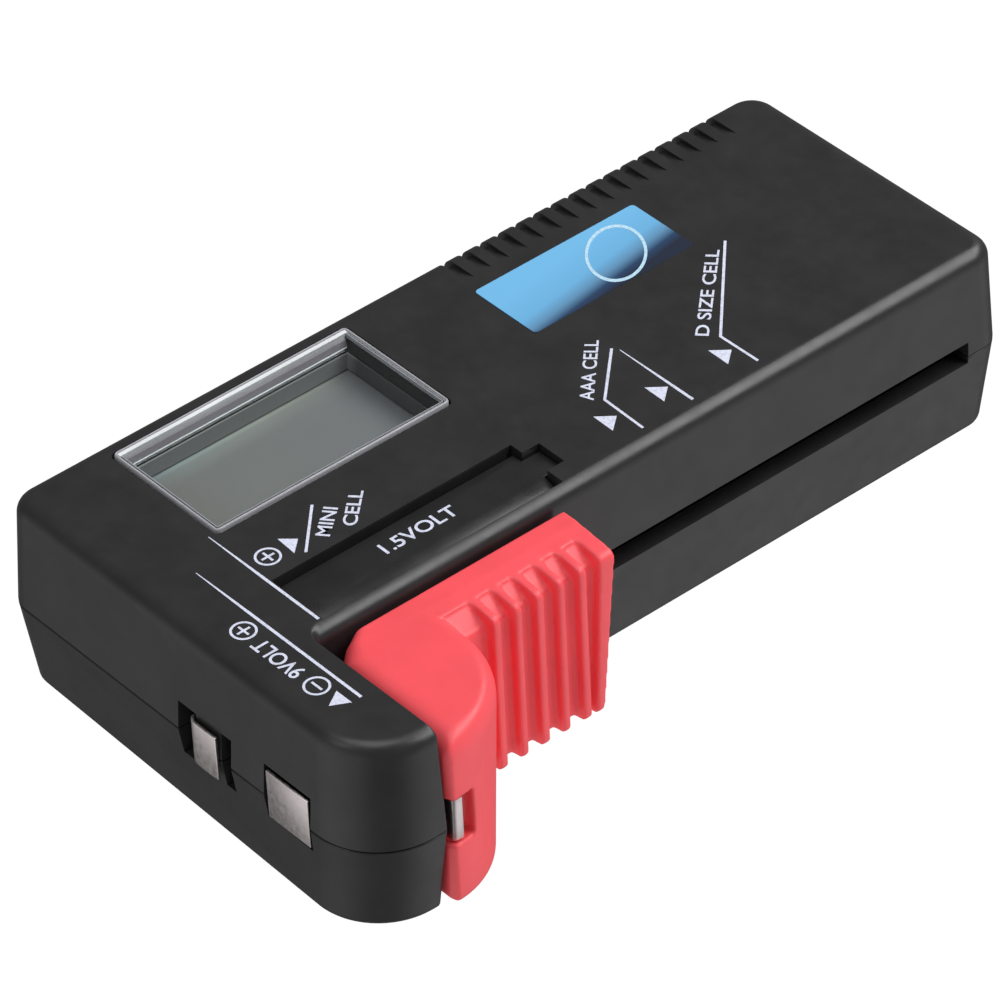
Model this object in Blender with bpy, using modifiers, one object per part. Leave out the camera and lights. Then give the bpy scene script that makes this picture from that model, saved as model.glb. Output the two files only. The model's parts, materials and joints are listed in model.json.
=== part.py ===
"""Handheld battery tester with a spring-loaded slider arm.

The case is two moulded shells, a long body with a jaw that stands out at its near end. Cells are
gripped between the jaw and the arm of a red slider, which runs along a slot in the right wall.

All sizes are millimetres measured from the case's near left bottom corner: X to the right (the
slider's side), Y along the case to its far end, Z up. at() turns them into metres in the part's
frame, whose origin is the middle of the underside of the whole object.
"""

import math

import bmesh
import bpy
from mathutils import Matrix, Vector

MM = 0.001
GAP = 0.3                       # between two pieces that touch

# Case
CASE_LENGTH = 110.0
BODY_WIDTH = 41.4
JAW_WIDTH = 62.1
JAW_DEPTH = 10.65
CASE_HEIGHT = 25.3
PARTING = 11.9                  # height of the joint between the two shells
WALL = 1.8
ROOF_BELOW = 23.1               # underside of the top shell's roof
FLOOR_ABOVE = 1.8               # upper side of the bottom shell's floor
CORNER_RADIUS = 3.4
JAW_NOSE_RADIUS = 8.7
JAW_HEEL_RADIUS = 0.6
NOTCH_RADIUS = 0.8
TOP_EDGE_RADIUS = 1.9
LOW_EDGE_RADIUS = 1.0
HEEL_EDGE = 0.2                 # the jaw's back edge is this much sharper than the others
# How far each wall leans inwards from the parting to the top and to the underside: left, near, right, far
UPPER_LEAN = (0.1, 0.95, 0.25, 0.55)
LOWER_LEAN = (0.15, 0.75, 1.4, 0.85)
LOWER_SKEW = 1.0                # further lean of the near wall at the left corner of the underside
JAW_LEAN = (0.6, 1.7)           # lean of the jaw's right end, to the top and to the underside
HEEL_LEAN = 0.2                 # share of the right wall's lean that the jaw's back face has
ARM_TIP = 62.1                  # furthest right point of the slider's arm
CONTACT_PROUD = 0.45            # the bowed contact stands out of the near face

# Slider
TRAVEL = 62.5
SLOT_LOW, SLOT_HIGH = 11.1, 14.05
SLOT_START = 15.6
TONGUE_START, TONGUE_END = 16.0, 41.5
SLOT_END = TONGUE_END + TRAVEL + GAP
TONGUE_LOW, TONGUE_HIGH = SLOT_LOW + GAP, SLOT_HIGH - GAP
SLIDER_LEFT = BODY_WIDTH + 0.4
SLIDER_TOP = 24.0
ARM_FRONT = JAW_DEPTH + GAP
ARM_LOW = 0.8
ARM_CENTRE = Vector((50.3, 11.5))
ARM_BACK = 23.1
ARM_EDGE, ARM_TOP_EDGE, ARM_FRONT_EDGE = 1.1, 2.0, 2.6
ARM_DRAFT = 0.075               # lean of the arm's back, for each millimetre of height
ARM_DRAFT_FROM = 8.0            # height at which the arm ends at ARM_BACK
ARM_FALL = 0.9
GRIP_RIGHT = 50.5
GRIP_FLAT, GRIP_FALL = 44.5, 0.5   # the top falls by this much from here to its right edge
GRIP_LOW = 2.2
GRIP_END = 44.2                 # at the height of its top
GRIP_END_DRAFT = 0.085          # lean of its far end, for each millimetre of height
GRIP_TOP_RADIUS = 1.0
GRIP_LOW_RADIUS = 1.0
RIB_START, RIB_PITCH, RIB_WIDTH, RIB_HEIGHT = 27.2, 2.97, 1.0, 1.2
RIB_COUNT = 6
GROOVE_LEFT = 46.4

# Display
WINDOW = ((2.8, 13.8), (20.9, 46.4))
WINDOW_TOP = CASE_HEIGHT + 0.3
LCD = ((4.0, 15.0), (20.0, 45.2))
LCD_LOW, LCD_HIGH = 19.7, 21.6
FRAME_OUT = ((2.5, 12.9), (21.6, 47.1))
FRAME_LOW, FRAME_HIGH = 17.4, 22.8
BOARD = ((3.5, 12.2), (29.5, 56.5))
BOARD_LOW, BOARD_HIGH = 15.9, 17.1

# Inset panel
PANEL_LEFT, PANEL_RIGHT = 31.7, 39.3
PANEL_NEAR, PANEL_FAR = 13.4, 46.0
PANEL_TOP = 24.5
PANEL_ROUND = 1.3

# Label and side grooves
LABEL = ((7.6, 61.0), (18.0, 84.4))
LABEL_LOW, LABEL_HIGH = 25.1, 25.32
SIDE_GROOVES = 16
SIDE_GROOVE_START, SIDE_GROOVE_PITCH, SIDE_GROOVE_WIDTH = 61.65, 2.61, 1.15
SIDE_GROOVE_DEPTH = 0.7

# Contacts
CONTACT_THICKNESS = 0.35
PLATE_LEFT, PLATE_RIGHT = 45.1, 52.0
PLATE_LOW, PLATE_HIGH = 9.2, 15.6
STRIP_LOW, STRIP_HIGH = 9.4, 15.2
CELL_CONTACT_LOW, CELL_CONTACT_HIGH = 9.5, 15.3
CONTACT_RECESS = 0.6            # the arm's contact lies this deep in its bed, for the cell's cap to reach

# Fasteners
CASE_SCREWS = {"near_left": (6.5, 6.5), "jaw": (53.5, 5.4), "far_left": (6.5, 103.5), "far_right": (22.0, 103.5)}
BOARD_SCREWS = {"near": (25.6, 16.0), "far": (9.0, 52.2)}
SHOE_SCREWS = {"front": 21.0, "rear": 36.5}
SHOE_SCREW_X = 36.8

# Return spring
SPRING_X, SPRING_Z = 29.5, 12.4
SPRING_RADIUS, SPRING_WIRE = 1.5, 0.3
SPRING_NEAR, SPRING_FAR = 11.0, 35.0
SPRING_TURNS = 14
ANCHOR_Y = 9.3
TAB_NEAR, TAB_FAR = 36.8, 38.6

FRAME_SHIFT = Vector((-ARM_TIP / 2, -(CASE_LENGTH - CONTACT_PROUD) / 2, 0.0))


def at(x, y, z):
    """A point in the part's frame, in metres."""
    return (Vector((x, y, z)) + FRAME_SHIFT) * MM


def clear_scene():
    for obj in list(bpy.data.objects):
        bpy.data.objects.remove(obj, do_unlink=True)


def new_collection(name):
    collection = bpy.data.collections.new(name)
    bpy.context.scene.collection.children.link(collection)
    return collection


def plastic(name, colour, roughness=0.5, metallic=0.0, alpha=1.0):
    made = bpy.data.materials.new(name)
    made.use_nodes = True
    shader = made.node_tree.nodes["Principled BSDF"]
    shader.inputs["Base Color"].default_value = (*colour, 1.0)
    shader.inputs["Roughness"].default_value = roughness
    shader.inputs["Metallic"].default_value = metallic
    shader.inputs["Alpha"].default_value = alpha
    return made


clear_scene()
PARTS = new_collection("battery_tester")
CUTTERS = new_collection("cutters")

BLACK = plastic("black_abs", (0.032, 0.032, 0.034), 0.55)
RED = plastic("red_abs", (0.80, 0.045, 0.050), 0.40)
CLEAR = plastic("clear_window", (0.85, 0.88, 0.88), 0.08, alpha=0.35)
LCD_GREY = plastic("lcd_glass", (0.17, 0.18, 0.17), 0.20)
LIGHT_GREY = plastic("light_grey_frame", (0.45, 0.44, 0.45), 0.50)
NICKEL = plastic("nickel_plate", (0.60, 0.55, 0.53), 0.30, 1.0)
STEEL = plastic("spring_steel", (0.45, 0.45, 0.46), 0.30, 1.0)
ZINC = plastic("zinc_screw", (0.55, 0.55, 0.57), 0.35, 1.0)
GREEN_BOARD = plastic("green_board", (0.02, 0.17, 0.07), 0.45)
EPOXY = plastic("black_epoxy", (0.012, 0.012, 0.012), 0.30)
COMPONENT = plastic("component_body", (0.05, 0.05, 0.06), 0.40)
ELASTOMER = plastic("zebra_rubber", (0.55, 0.50, 0.45), 0.60)
BLUE = plastic("blue_label", (0.06, 0.38, 0.80), 0.35)
RED_WIRE = plastic("red_wire", (0.60, 0.03, 0.03), 0.45)
BLACK_WIRE = plastic("black_wire", (0.02, 0.02, 0.02), 0.45)

CASE_EMPTY = bpy.data.objects.new("case_frame", None)
SLIDER_EMPTY = bpy.data.objects.new("slider_frame", None)
SLIDER_EMPTY.location = at(SLIDER_LEFT, (TONGUE_START + TONGUE_END) / 2, (SLOT_LOW + SLOT_HIGH) / 2)
for frame_empty in (CASE_EMPTY, SLIDER_EMPTY):
    PARTS.objects.link(frame_empty)
bpy.context.view_layer.update()


def add(name, build, centre, material, parent=CASE_EMPTY):
    """Make an object from a bmesh whose points are millimetres about centre."""
    mesh = bpy.data.meshes.new(name)
    bmesh.ops.scale(build, vec=(MM, MM, MM), verts=build.verts)
    bmesh.ops.recalc_face_normals(build, faces=build.faces)
    build.to_mesh(mesh)
    build.free()
    obj = bpy.data.objects.new(name, mesh)
    mesh.shade_smooth()
    mesh.set_sharp_from_angle(angle=math.radians(32))
    obj.location = at(*centre)
    if material is None:
        CUTTERS.objects.link(obj)
        obj.hide_render = True
        obj.display_type = "WIRE"
        return obj
    PARTS.objects.link(obj)
    mesh.materials.append(material)
    obj.parent = parent
    obj.matrix_parent_inverse = parent.matrix_world.inverted()
    return obj


def put_box(build, low, high, about):
    size = Vector(high) - Vector(low)
    middle = (Vector(high) + Vector(low)) / 2 - Vector(about)
    bmesh.ops.create_cube(build, size=1.0, matrix=Matrix.Translation(middle) @ Matrix.Diagonal((*size, 1.0)))


def put_cylinder(build, start, end, radius, about, end_radius=None, sides=16):
    start, end = Vector(start), Vector(end)
    along = end - start
    turn = along.to_track_quat("Z", "Y").to_matrix().to_4x4()
    bmesh.ops.create_cone(
        build, cap_ends=True, segments=sides, radius1=radius, depth=along.length,
        radius2=radius if end_radius is None else end_radius,
        matrix=Matrix.Translation((start + end) / 2 - Vector(about)) @ turn)


def boxes(name, spans, material=None, parent=CASE_EMPTY):
    """One object of several separate boxes, each given by its lowest and highest corners."""
    about = (Vector(spans[0][0]) + Vector(spans[0][1])) / 2
    build = bmesh.new()
    for low, high in spans:
        put_box(build, low, high, about)
    return add(name, build, about, material, parent)


def cylinders(name, rods, material=None, parent=CASE_EMPTY, sides=16):
    """One object of several separate rods, each (start, end, radius) or with a second radius."""
    about = Vector(rods[0][0])
    build = bmesh.new()
    for start, end, radius, *tip in rods:
        put_cylinder(build, start, end, radius, about, *tip, sides=sides)
    return add(name, build, about, material, parent)


def arc(centre, radius, first, last, steps):
    """Points of a circle's arc between two angles in degrees."""
    return [
        Vector((centre[0] + radius * math.cos(math.radians(first + (last - first) * i / steps)),
                centre[1] + radius * math.sin(math.radians(first + (last - first) * i / steps))))
        for i in range(steps + 1)
    ]


def put_loft(build, rings):
    """Closed solid through rings of points that match one to one, capped at both ends."""
    rows = [[build.verts.new(point) for point in ring] for ring in rings]
    count = len(rows[0])
    for below, above in zip(rows, rows[1:]):
        for i in range(count):
            j = (i + 1) % count
            build.faces.new((below[i], below[j], above[j], above[i]))
    build.faces.new(list(reversed(rows[0])))
    build.faces.new(rows[-1])


def flat_ring(outline, height, about):
    return [Vector((p[0], p[1], height)) - Vector(about) for p in outline]


def prism_along_y(build, profile, near, far, about):
    """Extrude a closed XZ profile along Y."""
    put_loft(build, [[Vector((x, y, z)) - Vector(about) for x, z in profile] for y in (near, far)])


def boolean(target, other, operation="DIFFERENCE"):
    cut = target.modifiers.new(other.name, "BOOLEAN")
    cut.operation = operation
    cut.object = other
    cut.solver = "EXACT"


def bevelled(obj, width, segments=2, angle=40):
    edge = obj.modifiers.new("rounded_edges", "BEVEL")
    edge.width = width * MM
    edge.segments = segments
    edge.limit_method = "ANGLE"
    edge.angle_limit = math.radians(angle)


def wire(name, points, radius, material, parent=CASE_EMPTY, cyclic=False):
    """A round wire through points, as a curve with filled caps."""
    curve = bpy.data.curves.new(name, "CURVE")
    curve.dimensions = "3D"
    curve.bevel_depth = radius * MM
    curve.bevel_resolution = 2
    curve.use_fill_caps = True
    spline = curve.splines.new("POLY")
    spline.points.add(len(points) - 1)
    start = Vector(points[0])
    for handle, point in zip(spline.points, points):
        handle.co = (*((Vector(point) - start) * MM), 1.0)
    spline.use_cyclic_u = cyclic
    obj = bpy.data.objects.new(name, curve)
    obj.location = at(*start)
    curve.materials.append(material)
    PARTS.objects.link(obj)
    obj.parent = parent
    obj.matrix_parent_inverse = parent.matrix_world.inverted()
    return obj


def smooth_route(stops, steps=4):
    """Points along a smooth curve through the stops."""
    stops = [Vector(s) for s in stops]
    padded = [2 * stops[0] - stops[1], *stops, 2 * stops[-1] - stops[-2]]
    route = []
    for a, b, c, d in zip(padded, padded[1:], padded[2:], padded[3:]):
        for i in range(steps):
            t = i / steps
            route.append(0.5 * (2 * b + (c - a) * t + (2 * a - 5 * b + 4 * c - d) * t * t
                                + (3 * b - a - 3 * c + d) * t ** 3))
    return [*route, stops[-1]]


def folded_strip(name, path, low, high, material, parent=CASE_EMPTY):
    """A strip of sheet metal stood on edge: an open plan path made solid to the contact's thickness."""
    about = Vector((path[0][0], path[0][1], low))
    build = bmesh.new()
    rows = [[build.verts.new(Vector((x, y, z)) - about) for x, y in path] for z in (low, high)]
    for i in range(len(path) - 1):
        build.faces.new((rows[0][i], rows[0][i + 1], rows[1][i + 1], rows[1][i]))
    obj = add(name, build, about, material, parent)
    sheet = obj.modifiers.new("sheet", "SOLIDIFY")
    sheet.thickness = CONTACT_THICKNESS * MM
    sheet.offset = 0.0
    sheet.use_even_offset = True
    return obj


# Case shells

def leans_at(height):
    """How far the left, near, right, far and jaw end walls lean in at this height, and the near wall's skew."""
    if height >= PARTING:
        share = min((height - PARTING) / (CASE_HEIGHT - TOP_EDGE_RADIUS - PARTING), 1.0)
        return [lean * share for lean in (*UPPER_LEAN, JAW_LEAN[0], 0.0)]
    share = (PARTING - height) / PARTING
    return [lean * share for lean in (*LOWER_LEAN, JAW_LEAN[1], LOWER_SKEW)]


def case_outline(height, edge=0.0, wall=0.0):
    """The case cut level at this height: edge is the inset of its rounded edges, wall that of its inner side."""
    lean_left, lean_near, lean_right, lean_far, lean_jaw, skew = leans_at(height)
    inset = edge + wall
    left, near = inset + lean_left, inset + lean_near
    right, far = BODY_WIDTH - inset - lean_right, CASE_LENGTH - inset - lean_far
    jaw = JAW_WIDTH - inset - lean_jaw
    heel = JAW_DEPTH - wall - edge * HEEL_EDGE - lean_right * HEEL_LEAN
    corner = max(CORNER_RADIUS - inset, 0.3)
    nose = max(JAW_NOSE_RADIUS - inset, 0.3)
    back = max(JAW_HEEL_RADIUS - inset, 0.3)
    notch = NOTCH_RADIUS + inset
    nose_end = math.asin(max(near + nose - heel + back, 0.0) / nose)
    heel_right = jaw - nose + nose * math.cos(nose_end)
    return [
        *arc((left + corner, near + skew + corner), corner, 180, 270, 4),
        *arc((jaw - nose, near + nose), nose, 270, 359 - math.degrees(nose_end), 7),
        *arc((heel_right - back, heel - back), back, 0, 90, 3),
        *arc((right + notch, heel + notch), notch, 270, 180, 3),
        *arc((right - corner, far - corner), corner, 0, 90, 4),
        *arc((left + corner, far - corner), corner, 90, 180, 4),
    ]


def put_shell(build, outer, inner, about):
    """A wall between outer and inner (height, edge, wall) sections, open at the rim that both start from."""
    rings = [flat_ring(case_outline(*section), section[0], about) for section in [*reversed(outer), *inner]]
    put_loft(build, rings)


def top_shell():
    about = (BODY_WIDTH / 2, CASE_LENGTH / 2, PARTING)
    rim = PARTING + GAP / 2
    shoulder = CASE_HEIGHT - TOP_EDGE_RADIUS
    outer = [(rim, 0.0, 0.0)]
    for angle in (0, 30, 60, 90):
        turn = math.radians(angle)
        outer.append((shoulder + TOP_EDGE_RADIUS * math.sin(turn), TOP_EDGE_RADIUS * (1 - math.cos(turn)), 0.0))
    inner = [(rim, 0.0, WALL), (ROOF_BELOW, 0.0, WALL)]
    build = bmesh.new()
    put_shell(build, outer, inner, about)
    return add("top_shell", build, about, BLACK)


def bottom_shell():
    about = (BODY_WIDTH / 2, CASE_LENGTH / 2, 0.0)
    rim = PARTING - GAP / 2
    outer = [(rim, 0.0, 0.0)]
    for angle in (90, 45, 0):
        turn = math.radians(angle)
        outer.append((LOW_EDGE_RADIUS * (1 - math.cos(turn)), LOW_EDGE_RADIUS * (1 - math.sin(turn)), 0.0))
    inner = [(rim, 0.0, WALL), (FLOOR_ABOVE, 0.0, WALL)]
    build = bmesh.new()
    put_shell(build, outer, inner, about)
    return add("bottom_shell", build, about, BLACK)


def side_grooves():
    """Cutter for the row of finger grooves over the left top edge."""
    depth = SIDE_GROOVE_DEPTH
    left = depth + UPPER_LEAN[0]
    roof = CASE_HEIGHT - depth
    profile = [(-1.0, 14.6), (left, 15.8), (left, roof - 1.6), (left + 0.5, roof - 0.5),
               (left + 1.6, roof), (3.6, roof + 0.05), (6.2, CASE_HEIGHT + 0.1), (6.2, 27.0), (-1.0, 27.0)]
    about = (0.0, SIDE_GROOVE_START, CASE_HEIGHT)
    build = bmesh.new()
    for index in range(SIDE_GROOVES):
        near = SIDE_GROOVE_START + index * SIDE_GROOVE_PITCH
        prism_along_y(build, profile, near, near + SIDE_GROOVE_WIDTH, about)
    return add("cut_side_grooves", build, about, None)


def contact_openings():
    """Cutters for the openings that both shells share: the slot, the 9 V contacts and the jaw contact."""
    slot = boxes("cut_slot", [((39.0, SLOT_START, SLOT_LOW), (42.2, SLOT_END, SLOT_HIGH))])
    near_face = boxes("cut_near_face", [
        ((PLATE_LEFT - GAP - 0.2, -1.0, PLATE_LOW - GAP), (PLATE_RIGHT + GAP, 2.4, PLATE_HIGH + GAP + 0.2)),
        ((30.2, -1.0, STRIP_LOW - 1.0), (33.25, 2.4, STRIP_HIGH + 0.5)),
        ((37.4, -1.0, STRIP_LOW - 1.0), (39.0, 2.4, STRIP_HIGH + 0.5)),
    ])
    jaw_back = boxes("cut_jaw_back", [
        ((46.4, 7.6, CELL_CONTACT_LOW - GAP), (58.4, 11.4, CELL_CONTACT_HIGH + GAP)),
    ])
    return slot, near_face, jaw_back


def finish_shells():
    upper, lower = top_shell(), bottom_shell()
    shared = contact_openings()

    posts = cylinders("add_top_posts", [
        *(((x, y, PARTING + 0.4), (x, y, ROOF_BELOW + 0.4), 2.4) for x, y in CASE_SCREWS.values()),
        *(((x, y, BOARD_HIGH + GAP), (x, y, ROOF_BELOW + 0.4), 2.2) for x, y in BOARD_SCREWS.values()),
    ])
    boolean(upper, posts, "UNION")
    window_low, window_high = WINDOW
    view_cut = boxes("cut_top_openings", [
        ((window_low[0] - GAP, window_low[1] - GAP, 23.9), (window_high[0] + GAP, window_high[1] + GAP, 27.0)),
        ((31.0, PANEL_NEAR - GAP, 22.0), (PANEL_RIGHT + GAP, PANEL_FAR + GAP, 27.0)),
        ((LABEL[0][0] - GAP, LABEL[0][1] - GAP, LABEL_LOW - GAP), (LABEL[1][0] + GAP, LABEL[1][1] + GAP, 27.0)),
    ])
    ledge_cut = boxes("cut_window_ledge", [
        ((window_low[0] + 0.7, window_low[1] + 0.7, 22.0), (window_high[0] - 0.7, window_high[1] - 0.7, 24.5)),
        ((32.8, PANEL_FAR - 0.5, 22.0), (37.1, 48.8, 27.0)),
    ])
    pilots = cylinders("cut_top_pilots", [
        *(((x, y, PARTING - 1.0), (x, y, 20.6), 1.3) for x, y in CASE_SCREWS.values()),
        *(((x, y, BOARD_HIGH - 1.0), (x, y, 21.6), 1.1) for x, y in BOARD_SCREWS.values()),
    ], sides=12)
    for cutter in (view_cut, ledge_cut, side_grooves(), pilots, *shared):
        boolean(upper, cutter)

    supports = cylinders("add_bottom_posts", [
        *(((x, y, 1.2), (x, y, PARTING - 0.4), 3.4) for x, y in CASE_SCREWS.values()),
        ((SPRING_X, 6.9, 1.2), (SPRING_X, 6.9, 9.3), 2.3),
    ])
    rails = boxes("add_rails", [
        ((33.0, 12.5, 1.2), (34.6, 106.0, 9.2)),
        ((46.4, 1.9, 1.2), (49.8, 4.0, PLATE_LOW - GAP)),
    ])
    boolean(lower, supports, "UNION")
    boolean(lower, rails, "UNION")
    holes = cylinders("cut_bottom_holes", [
        *(((x, y, 2.0), (x, y, 14.0), 1.4) for x, y in CASE_SCREWS.values()),
        ((SPRING_X, 6.9, 4.0), (SPRING_X, 6.9, 11.0), 1.1),
    ], sides=12)
    counterbores = cylinders("cut_counterbores", [
        ((x, y, -1.0), (x, y, 3.4), 2.5) for x, y in CASE_SCREWS.values()
    ])
    for cutter in (counterbores, holes, *shared):
        boolean(lower, cutter)


# Display, board and components

def display():
    low, high = WINDOW
    window = boxes("display_window", [((*low, 24.2), (*high, WINDOW_TOP))], CLEAR)
    bevelled(window, 0.3, 1)

    frame = boxes("display_frame", [((*FRAME_OUT[0], FRAME_LOW), (*FRAME_OUT[1], FRAME_HIGH))], LIGHT_GREY)
    pocket = boxes("cut_frame_pocket", [
        ((LCD[0][0] - GAP, LCD[0][1] - GAP, FRAME_LOW - 1.0), (LCD[1][0] + GAP, LCD[1][1] + GAP, LCD_HIGH + GAP)),
    ])
    view = boxes("cut_frame_view", [((5.0, 16.0, LCD_HIGH - 1.0), (19.0, 44.2, FRAME_HIGH + 1.0))])
    boolean(frame, pocket)
    boolean(frame, view)

    boxes("lcd_panel", [((*LCD[0], LCD_LOW), (*LCD[1], LCD_HIGH))], LCD_GREY)
    boxes("zebra_connector", [((5.0, 16.2, BOARD_HIGH + GAP), (19.0, 18.4, LCD_LOW - GAP))], ELASTOMER)
    backing = boxes("lcd_backing", [((4.4, 20.0, BOARD_HIGH + GAP), (19.6, 44.6, LCD_LOW - GAP))], LIGHT_GREY)
    bevelled(backing, 0.4, 1)


def board():
    plate = boxes("circuit_board", [((*BOARD[0], BOARD_LOW), (*BOARD[1], BOARD_HIGH))], GREEN_BOARD)
    holes = cylinders("cut_board_holes", [
        ((x, y, BOARD_LOW - 1), (x, y, BOARD_HIGH + 1), 1.2) for x, y in BOARD_SCREWS.values()
    ], sides=12)
    boolean(plate, holes)

    under = BOARD_LOW - GAP
    cylinders("chip_blob", [((12.0, 27.0, under), (12.0, 27.0, under - 1.5), 4.2, 2.6)], EPOXY, sides=20)
    cylinders("electrolytic_capacitor", [((22.5, 47.0, under), (22.5, 47.0, under - 7.0), 2.5)], COMPONENT)
    cylinders("boost_inductor", [((15.5, 47.5, under), (15.5, 47.5, under - 3.4), 3.0)], COMPONENT)
    boxes("switching_transistor", [((20.6, 38.0, under - 1.1), (23.6, 39.6, under))], COMPONENT)
    boxes("rectifier_diode", [((8.0, 38.0, under - 1.4), (12.4, 40.4, under))], COMPONENT)
    for index in range(3):
        near = 20.0 + 4.0 * index
        boxes(f"chip_resistor_{index + 1}", [((21.0, near, under - 0.6), (24.2, near + 1.6, under))], COMPONENT)


def screw(name, x, y, head, seat, tip, head_radius, shank_radius, parent=CASE_EMPTY):
    """A pan-head screw from its head's face to its tip, turned as one profile about its axis."""
    up = 1 if tip > head else -1
    profile = [
        (0.0, tip), (shank_radius * 0.4, tip), (shank_radius, tip - 1.2 * up),
        (shank_radius, seat), (head_radius, seat), (head_radius, head + 0.4 * up),
        (head_radius * 0.75, head), (0.6, head), (0.45, head + 0.45 * up), (0.0, head + 0.45 * up),
    ]
    if up < 0:
        profile.reverse()
    build = bmesh.new()
    corners = [build.verts.new((r, 0.0, z - head)) for r, z in profile]
    for a, b in zip(corners, corners[1:]):
        build.edges.new((a, b))
    obj = add(name, build, (x, y, head), ZINC, parent)
    turned = obj.modifiers.new("turned", "SCREW")
    turned.steps = 12
    turned.render_steps = 12
    turned.use_merge_vertices = True
    turned.merge_threshold = 0.00001
    return obj


def fasteners():
    for place, (x, y) in CASE_SCREWS.items():
        screw(f"case_screw_{place}", x, y, 0.9, 3.1, 18.5, 2.1, 1.0)
    for place, (x, y) in BOARD_SCREWS.items():
        screw(f"board_screw_{place}", x, y, BOARD_LOW - GAP - 1.2, BOARD_LOW - GAP, 20.8, 1.7, 0.8)


def inset_panel():
    """The lowered 1.5 V panel beside the display, rounded along its right edge, with a tab at its far end."""
    about = ((PANEL_LEFT + PANEL_RIGHT) / 2, (PANEL_NEAR + PANEL_FAR) / 2, PANEL_TOP)
    flange_top, flange_low = ROOF_BELOW - GAP, 21.6
    rounded = arc((PANEL_RIGHT - PANEL_ROUND, PANEL_TOP - PANEL_ROUND), PANEL_ROUND, 0, 90, 4)
    inside = PANEL_RIGHT - 0.4
    profile = [(PANEL_LEFT, flange_low), (inside, flange_low), (inside, flange_top), (PANEL_RIGHT, flange_top + GAP),
               *[(p[0], p[1]) for p in rounded], (PANEL_LEFT, PANEL_TOP)]
    build = bmesh.new()
    prism_along_y(build, profile, PANEL_NEAR, PANEL_FAR, about)
    panel = add("inset_panel", build, about, BLACK)
    boolean(panel, boxes("add_panel_flange", [((30.0, 12.6, flange_low), (PANEL_LEFT + 1.0, 47.2, flange_top))]),
            "UNION")
    boolean(panel, boxes("add_panel_tab", [((33.1, PANEL_FAR - 1.0, 22.0), (36.8, 48.5, PANEL_TOP + 0.4))]),
            "UNION")


def label():
    low, high = LABEL
    sticker = boxes("name_label", [((*low, LABEL_LOW), (*high, LABEL_HIGH))], BLUE)
    corners = sticker.modifiers.new("rounded_corners", "BEVEL")
    corners.width = 0.1 * MM
    corners.segments = 1


# Contacts and leads

def contacts():
    inner = CONTACT_THICKNESS / 2
    plate_y = 0.1 + inner
    plate = boxes("contact_9v_negative", [
        ((PLATE_LEFT, 0.1, PLATE_LOW), (PLATE_RIGHT, 0.1 + CONTACT_THICKNESS, PLATE_HIGH)),
    ], NICKEL)
    boolean(plate, boxes("add_plate_foot", [((46.6, plate_y, PLATE_LOW), (49.6, 4.4, PLATE_LOW + 0.4))]), "UNION")

    crown = inner - CONTACT_PROUD
    bow = [(32.7, 4.6), (32.7, 0.6), (32.78, 0.2), (33.05, -0.05), (33.5, crown + 0.06), (34.3, crown + 0.01),
           (35.2, crown), (36.4, crown + 0.02), (37.1, crown + 0.06)]
    folded_strip("contact_9v_positive", bow, STRIP_LOW, STRIP_HIGH, NICKEL)

    face = JAW_DEPTH + 0.1 - inner
    jaw = [(47.1, 5.2), (47.1, face - 0.4), (47.5, face), (57.6, face), (58.0, face - 0.4), (58.0, 7.6)]
    folded_strip("contact_jaw", jaw, CELL_CONTACT_LOW, CELL_CONTACT_HIGH, NICKEL)

    front = ARM_FRONT + CONTACT_RECESS + inner
    arm = [(44.9, 17.0), (44.9, front + 0.5), (45.3, front), (61.1, front), (61.5, front + 0.4), (61.5, 12.9)]
    folded_strip("contact_arm", arm, CELL_CONTACT_LOW, CELL_CONTACT_HIGH, NICKEL, SLIDER_EMPTY)


def leads():
    board_edge = BOARD_LOW - 1.0
    wire("lead_9v_positive", smooth_route([(32.6, 5.5, 13.0), (31.0, 8.0, 15.6), (27.0, 10.0, 15.6),
                                           (24.0, 12.5, board_edge - 0.2), (21.0, 15.0, board_edge)]), 0.45, RED_WIRE)
    wire("lead_9v_negative", smooth_route([(48.2, 5.2, 9.4), (46.0, 5.0, 8.0), (38.0, 4.0, 7.4), (30.0, 3.6, 7.2),
                                           (21.0, 8.0, 8.6), (17.0, 14.0, 12.0), (16.0, 16.6, board_edge)]),
         0.45, BLACK_WIRE)
    wire("lead_jaw_contact", smooth_route([(47.1, 4.2, 12.4), (44.0, 3.4, 14.0), (36.0, 5.6, 17.4),
                                           (29.0, 8.0, 18.8), (22.0, 10.0, 18.6), (16.0, 10.6, 17.0),
                                           (13.0, 11.2, 14.6), (13.0, 16.0, board_edge)]), 0.45, BLACK_WIRE)
    wire("lead_spring_anchor", smooth_route([(29.5, 3.9, 10.2), (26.4, 4.4, 9.6), (20.0, 8.2, 10.4),
                                             (11.0, 13.0, 11.0), (9.0, 16.0, board_edge)]), 0.45, RED_WIRE)


# Slider

def arm_outline(height, inset, front_inset=None):
    """The arm cut level at this height: chamfered beside the wall, flat at the jaw, rounded away at its end."""
    front_inset = inset if front_inset is None else front_inset
    back = ARM_BACK + ARM_DRAFT * (height - ARM_DRAFT_FROM) - inset
    left, front, corner = SLIDER_LEFT + 0.4 * inset, ARM_FRONT + front_inset, front_inset * 0.5
    middle = max(front + 0.1, ARM_CENTRE.y)
    points = [Vector((left, 14.9 + corner)), Vector((42.6 + corner, 13.3 + corner)), Vector((44.9 + corner, front)),
              Vector((ARM_TIP - 1.0 - inset * 0.7, front))]
    for i in range(9):
        turn = math.radians(90 * i / 8)
        points.append(Vector((ARM_CENTRE.x + (ARM_TIP - ARM_CENTRE.x - inset) * math.cos(turn),
                              middle + (back - middle) * math.sin(turn))))
    points.append(Vector((left, back)))
    return points


def arm_fall(x):
    """How far the arm's top falls towards its end."""
    return ARM_FALL * max((x - 46.0) / (ARM_TIP - 46.0), 0.0) ** 2


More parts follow.
